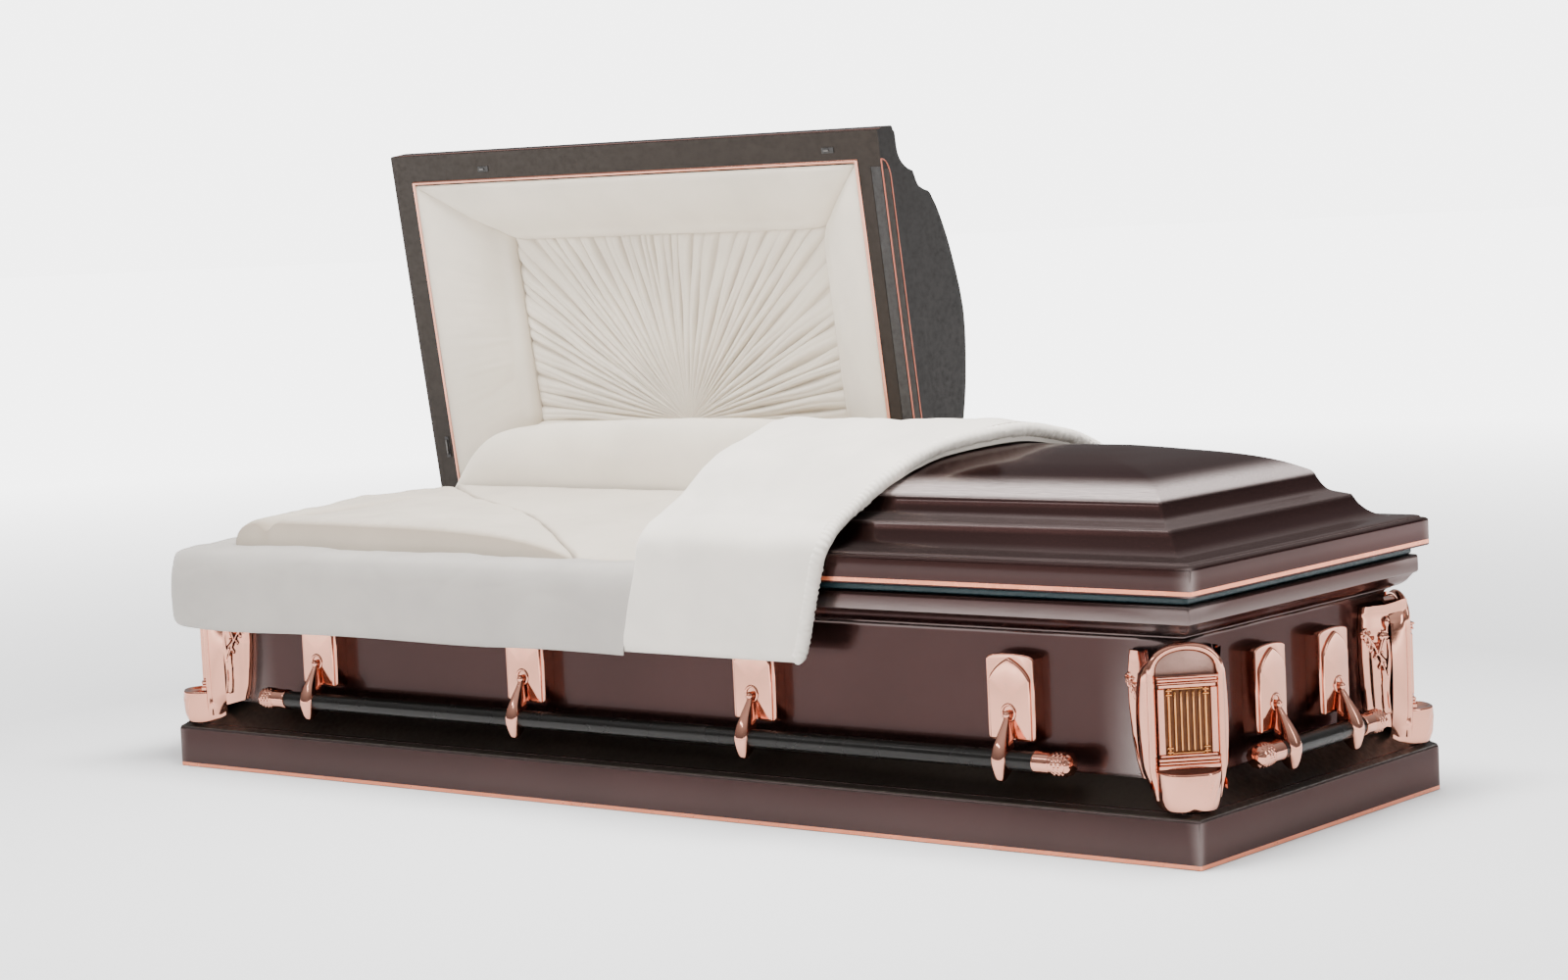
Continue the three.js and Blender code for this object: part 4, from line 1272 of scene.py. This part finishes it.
def make_corner_mesh():
    """Two wings with their relief, and between them a stippled field in a round-headed
    frame with bulging flanks, on a foot."""
    build = Build()
    wing = wing_curve()
    lengths = travelled(wing)
    total = lengths[-1]
    lengths, wing = lengths + [total + 1], wing + [(wing[-1][0] + 0.7, wing[-1][1] + 0.7)]

    def plan(s):
        return [float(np.interp(s, lengths, [p[axis] for p in wing])) for axis in (0, 1)]

    def wing_point(u, v):
        s = total * u
        (x, y), (x2, y2) = plan(s), plan(s + 1)
        k = math.hypot(x2 - x, y2 - y)
        bottom = 104 + 16 * (1 - u)
        z = bottom + (300 + 8 * smoothstep(0.5, 1.0, u) - bottom) * v
        flare = 5.0 * smoothstep(278, 308, z) ** 2 * (1 - 0.75 * smoothstep(0.75, 1.0, u))
        flare += 5.0 * (1 - smoothstep(104, 150, z)) * u
        rim = smoothstep(0, 3, s) * smoothstep(0, 4, total - s)
        out = flare + rim * (figure_relief(s * 0.98, z) * smoothstep(128, 134, z))
        return -22 + (x - (y2 - y) / k * out + 22) * wing_width(z), y + (x2 - x) / k * out, z

    verts, faces = grid(110, 72, wing_point)
    build.add(*flipped(verts, faces))
    build.add([(y, x, z) for x, y, z in verts], faces)
    arch = []
    for i in range(17):
        z = 94 + (ARCH_SPRING - 94) * i / 16
        arch.append(((FACE_HALF - 3) * (0.82 + 0.18 * smoothstep(88, 140, z)), z))
    for i in range(1, 12):
        a = pi * i / 24
        arch.append(((FACE_HALF - 3) * cos(a), ARCH_SPRING + (ARCH_TOP - 4 - ARCH_SPRING) * sin(a) ** 0.8))
    arch += [(0, ARCH_TOP - 4)] + [(-h, z) for h, z in arch[::-1]]

    def field_point(u, v):
        across = 2 * u - 1
        h = (FACE_HALF - 2) * across
        top = ARCH_SPRING + (ARCH_TOP - 4 - ARCH_SPRING) * sqrt(max(0.0, 1 - across * across)) ** 0.8
        z = 116 + (top - 116) * v
        stipple = 0.35 * noise.cell(Vector((h / 1.3, z / 1.3, 0))) if z > 268 else 0.0
        return qh(FACE_Q - 7 + stipple, h, z)

    build.add(*grid(80, 44, field_point), mat=1)
    path = [qh(FACE_Q - 3.0, h, z) for h, z in arch]
    build.add(*sweep(path, circle(6.6, 16), up=Vector((1, 1, 0)).normalized()))
    side = []
    for h, z in arch:
        belly = 1.0 + 0.36 * sin(pi * min(1.0, max(0.0, (z - 84) / 240.0))) ** 0.7
        row = []
        for m in range(15):
            t = m / 14
            bulge = sin(pi * t) * 5.0
            q = FACE_Q - 1 - 30 * t + bulge
            hh = h * (1 + (belly - 1) * t) + math.copysign(bulge, h) * 0.8
            zz = z - 7 * t * (1 if z > ARCH_SPRING else 0)
            row.append(qh(q, hh, zz))
        side.append(row)
    build.add(*flipped(*loft(side, closed=False, caps=False)))
    build.add(*foot_part())
    return build.mesh("corner_casting"), build.mats


def foot_part():
    """Boat-shaped foot with slanting leaf strokes on its face."""
    rings = []
    n = 72
    stations = spline([(80, 58, 40), (81, 62, 42.5), (88, 65, 45), (100, 67, 46.6), (116, 68.2, 47.8),
                       (129, 68.8, 48.6), (134.8, 67.8, 48), (135, 62.5, 45), (130, 55, 43),
                       (126, 34, 42)], 5)
    for z, reach, half in stations:
        ring = []
        for i in range(n + 1):
            a = -pi / 2 + pi * i / n
            ch = math.copysign(abs(sin(a)) ** 0.72, sin(a))
            cq = abs(cos(a)) ** 0.72
            h = half * ch
            q = -6 + (reach + 6) * cq if abs(ch) < 1 else -6
            if 86 < z < 130 and reach > 50:
                stroke = abs(sin(pi * (h / 9.0 + (z - 84) / 24.0)))
                q += 2.4 * (stroke - 0.6) * cq * smoothstep(86, 96, z) * (1 - smoothstep(120, 128, z))
            ring.append(qh(q, h, z))
        ring = ring[::-1]
        ring.append((0.5, 0.5, z))
        rings.append(ring[::-1])
    return loft(rings)


def make_column_mesh():
    """Column panel: copper surround with cornice and plinth (0), and a gilt fluted panel
    (1) on a dark ground (2). x across, y outwards, z up from the plinth's foot."""
    build = Build()
    half, high = 44.0, 133.0
    z_low, z_high = 21.0, high - 17.0
    steps = [(0, 7, 0, 11.4), (7, 11.5, 1.2, 10.0), (11.5, 17, 0.4, 10.8), (17, 21.5, 3.0, 8.0)]
    for z0, z1, inset, depth in steps:
        build.add(*box_part(-half + inset, half - inset, 0.2, depth, z0, z1, 1.4))
    top = [(0, 3.8, 0, 11.4), (3.8, 8.4, 1.6, 9.4), (8.4, 11.4, 0.8, 10.2), (11.4, 17.5, 3.0, 7.6)]
    for z0, z1, inset, depth in top:
        build.add(*box_part(-half + inset, half - inset, 0.2, depth, high - z1, high - z0, 1.2))
    for sign in (-1, 1):
        x = sign * 38.0
        build.add(*box_part(x - 4.6, x + 4.6, 0.2, 8.2, z_low, z_high, 1.6))
    for x in (-17.6, -8.8, 0.0, 8.8, 17.6):
        rings = []
        for z, r in ((z_low + 5, 1.2), (z_low + 7, 1.7), (z_high - 7, 1.6), (z_high - 5, 1.2)):
            rings.append([(x + dx, 5.0 + dy, z) for dx, dy in circle(r, 14)])
        build.add(*loft(rings), mat=1)
    for z0, z1 in ((z_low + 0.5, z_low + 3.5), (z_high - 3.5, z_high - 0.5)):
        build.add(*box_part(-23, 23, 0.4, 6.4, z0, z1, 1.0), mat=1)
    for sign in (-1, 1):
        x = sign * 26.5
        build.add(*box_part(x - 1.8, x + 1.8, 0.4, 6.8, z_low + 0.5, z_high - 0.5, 0.8), mat=1)
        for z0 in (z_low + 2.0, z_low + 8.0, z_high - 5.5, z_high - 11.5):
            build.add(*box_part(x - 4.4, x + 4.4, 0.4, 8.0, z0, z0 + 3.6, 1.1), mat=1)
    build.add(*box_part(-half + 3, half - 3, 0.2, 1.8, 4, high - 4, 0.4), mat=2)
    return build.mesh("column_panel"), build.mats


def make_corners():
    corner, corner_mats = make_corner_mesh()
    column, column_mats = make_column_mesh()
    cx, cy = HALF_X - WALL_INSET, HALF_Y - WALL_INSET
    places = {"back_foot": (0, cx, cy), "back_head": (90, -cx, cy), "front_head": (180, -cx, -cy),
              "front_foot": (270, cx, -cy)}
    for name, (turn, x, y) in places.items():
        place = Matrix.Translation((x * MM, y * MM, 0)) @ Matrix.Rotation(radians(turn), 4, "Z")
        obj = add_object("corner_casting_" + name, corner, [COPPER, COPPER_MATT], "body", "copper_plate",
                         40, place, corner_mats)
        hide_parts("corner_" + name)
        reach = (31 / 2 + 0.6) * MM
        panel = place @ Matrix.Translation((reach, reach, 137 * MM)) @ Matrix.Rotation(radians(-45), 4, "Z")
        obj = add_object("column_panel_" + name, column, [COPPER, GOLD, GOLD_DARK], "body", "gilt", 34,
                         panel, column_mats)
        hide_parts("column_" + name)


# Camera, light and floor


def make_camera():
    yaw, pitch, roll = radians(39.0), radians(5.06), radians(-2.65)
    forward = Vector((-sin(yaw) * cos(pitch), cos(yaw) * cos(pitch), -sin(pitch)))
    right = Vector((cos(yaw), sin(yaw), 0))
    up = right.cross(forward)
    side = cos(roll) * right + sin(roll) * up
    top = -sin(roll) * right + cos(roll) * up
    data = bpy.data.cameras.new("camera")
    data.lens, data.sensor_width, data.clip_end = 78.74, 36.0, 60.0
    camera = bpy.data.objects.new("camera", data)
    scene.collection.objects.link(camera)
    turn = Matrix((side, top, -forward)).transposed().to_4x4()
    camera.matrix_world = Matrix.Translation((3.6025, -4.3702, 0.9798)) @ turn
    scene.camera = camera


def area_light(name, place, aim, size, power, mirrored):
    """mirrored says whether gloss shows the lamp itself."""
    data = bpy.data.lights.new(name, "AREA")
    data.shape = "RECTANGLE"
    data.size, data.size_y = size
    data.energy = power
    light = bpy.data.objects.new(name, data)
    light.visible_glossy = mirrored
    scene.collection.objects.link(light)
    light.location = place
    light.rotation_euler = (Vector(aim) - Vector(place)).to_track_quat("-Z", "Y").to_euler()


def make_stage():
    world = bpy.data.worlds.new("studio")
    scene.world = world
    world.use_nodes = True
    tree = world.node_tree
    background = tree.nodes["Background"]
    background.inputs["Color"].default_value = (0.98, 0.98, 1.0, 1)
    place = tree.nodes.new("ShaderNodeTexCoord")
    split = tree.nodes.new("ShaderNodeSeparateXYZ")
    tree.links.new(place.outputs["Generated"], split.inputs[0])
    rise = tree.nodes.new("ShaderNodeMapRange")
    for index, value in ((1, 0.15), (2, 0.9), (3, 0.28), (4, 1.0)):
        rise.inputs[index].default_value = value
    tree.links.new(split.outputs[2], rise.inputs[0])
    tree.links.new(rise.outputs[0], background.inputs["Strength"])
    seen = tree.nodes.new("ShaderNodeBackground")
    seen.inputs["Color"].default_value = (1, 1, 1, 1)
    seen.inputs["Strength"].default_value = 5.0
    path = tree.nodes.new("ShaderNodeLightPath")
    mix = tree.nodes.new("ShaderNodeMixShader")
    tree.links.new(path.outputs["Is Camera Ray"], mix.inputs[0])
    tree.links.new(background.outputs[0], mix.inputs[1])
    tree.links.new(seen.outputs[0], mix.inputs[2])
    tree.links.new(mix.outputs[0], tree.nodes["World Output"].inputs["Surface"])
    area_light("overhead", (0.6, -0.3, 3.2), (0, 0, 0.4), (2.2, 1.0), 300, False)
    area_light("head_rake", (-3.4, -2.4, 1.9), (-0.2, 0, 0.4), (0.6, 0.6), 70, False)
    area_light("front_fill", (1.4, -4.8, 1.7), (0, 0, 0.4), (2.4, 1.4), 50, False)
    area_light("foot_strip", (3.6, 0.4, 1.6), (1.0, 0, 0.3), (0.5, 1.6), 20, True)
    area_light("edge_strip", (-1.2, -3.2, 2.9), (0, 0, 0.5), (3.2, 0.14), 24, True)
    floor = bpy.data.meshes.new("floor")
    floor.from_pydata([(-60, -60, 0), (60, -60, 0), (60, 60, 0), (-60, 60, 0)], [], [(0, 1, 2, 3)])
    m = Nodes("floor_paper")
    place = m.node("ShaderNodeTexCoord").outputs["Object"]
    far = m.node("ShaderNodeVectorMath", {0: place}, operation="LENGTH").outputs["Value"]
    m.set(Base_Color=(0.86, 0.86, 0.86), Roughness=0.9, Emission_Color=(1.0, 1.0, 1.0))
    m.set(Emission_Strength=m.span(far, 1.8, 7.5, 0.0, 4.6))
    floor.materials.append(m.material)
    obj = bpy.data.objects.new("floor", floor)
    scene.collection.objects.link(obj)


make_shell()
make_gasket()
make_lid("head_lid_shell", "head_lid", True, OPENED, "head_lid")
make_lid("foot_lid_shell", "foot_lid", False, CLOSED, "foot_lid")
make_trim()
make_end_lines()
make_catches()
make_puffs("head_lid_puffs", "head_lid_lining", True, OPENED, "head_lid", 1.0)
make_puffs("foot_lid_puffs", "foot_lid_lining", False, CLOSED, "foot_lid", 11.0)
make_sunburst()
make_foot_panel()
make_bed()
make_mattress()
make_extendover()
make_back_roll()
make_throw()
make_bars()
make_corners()
make_camera()
make_stage()
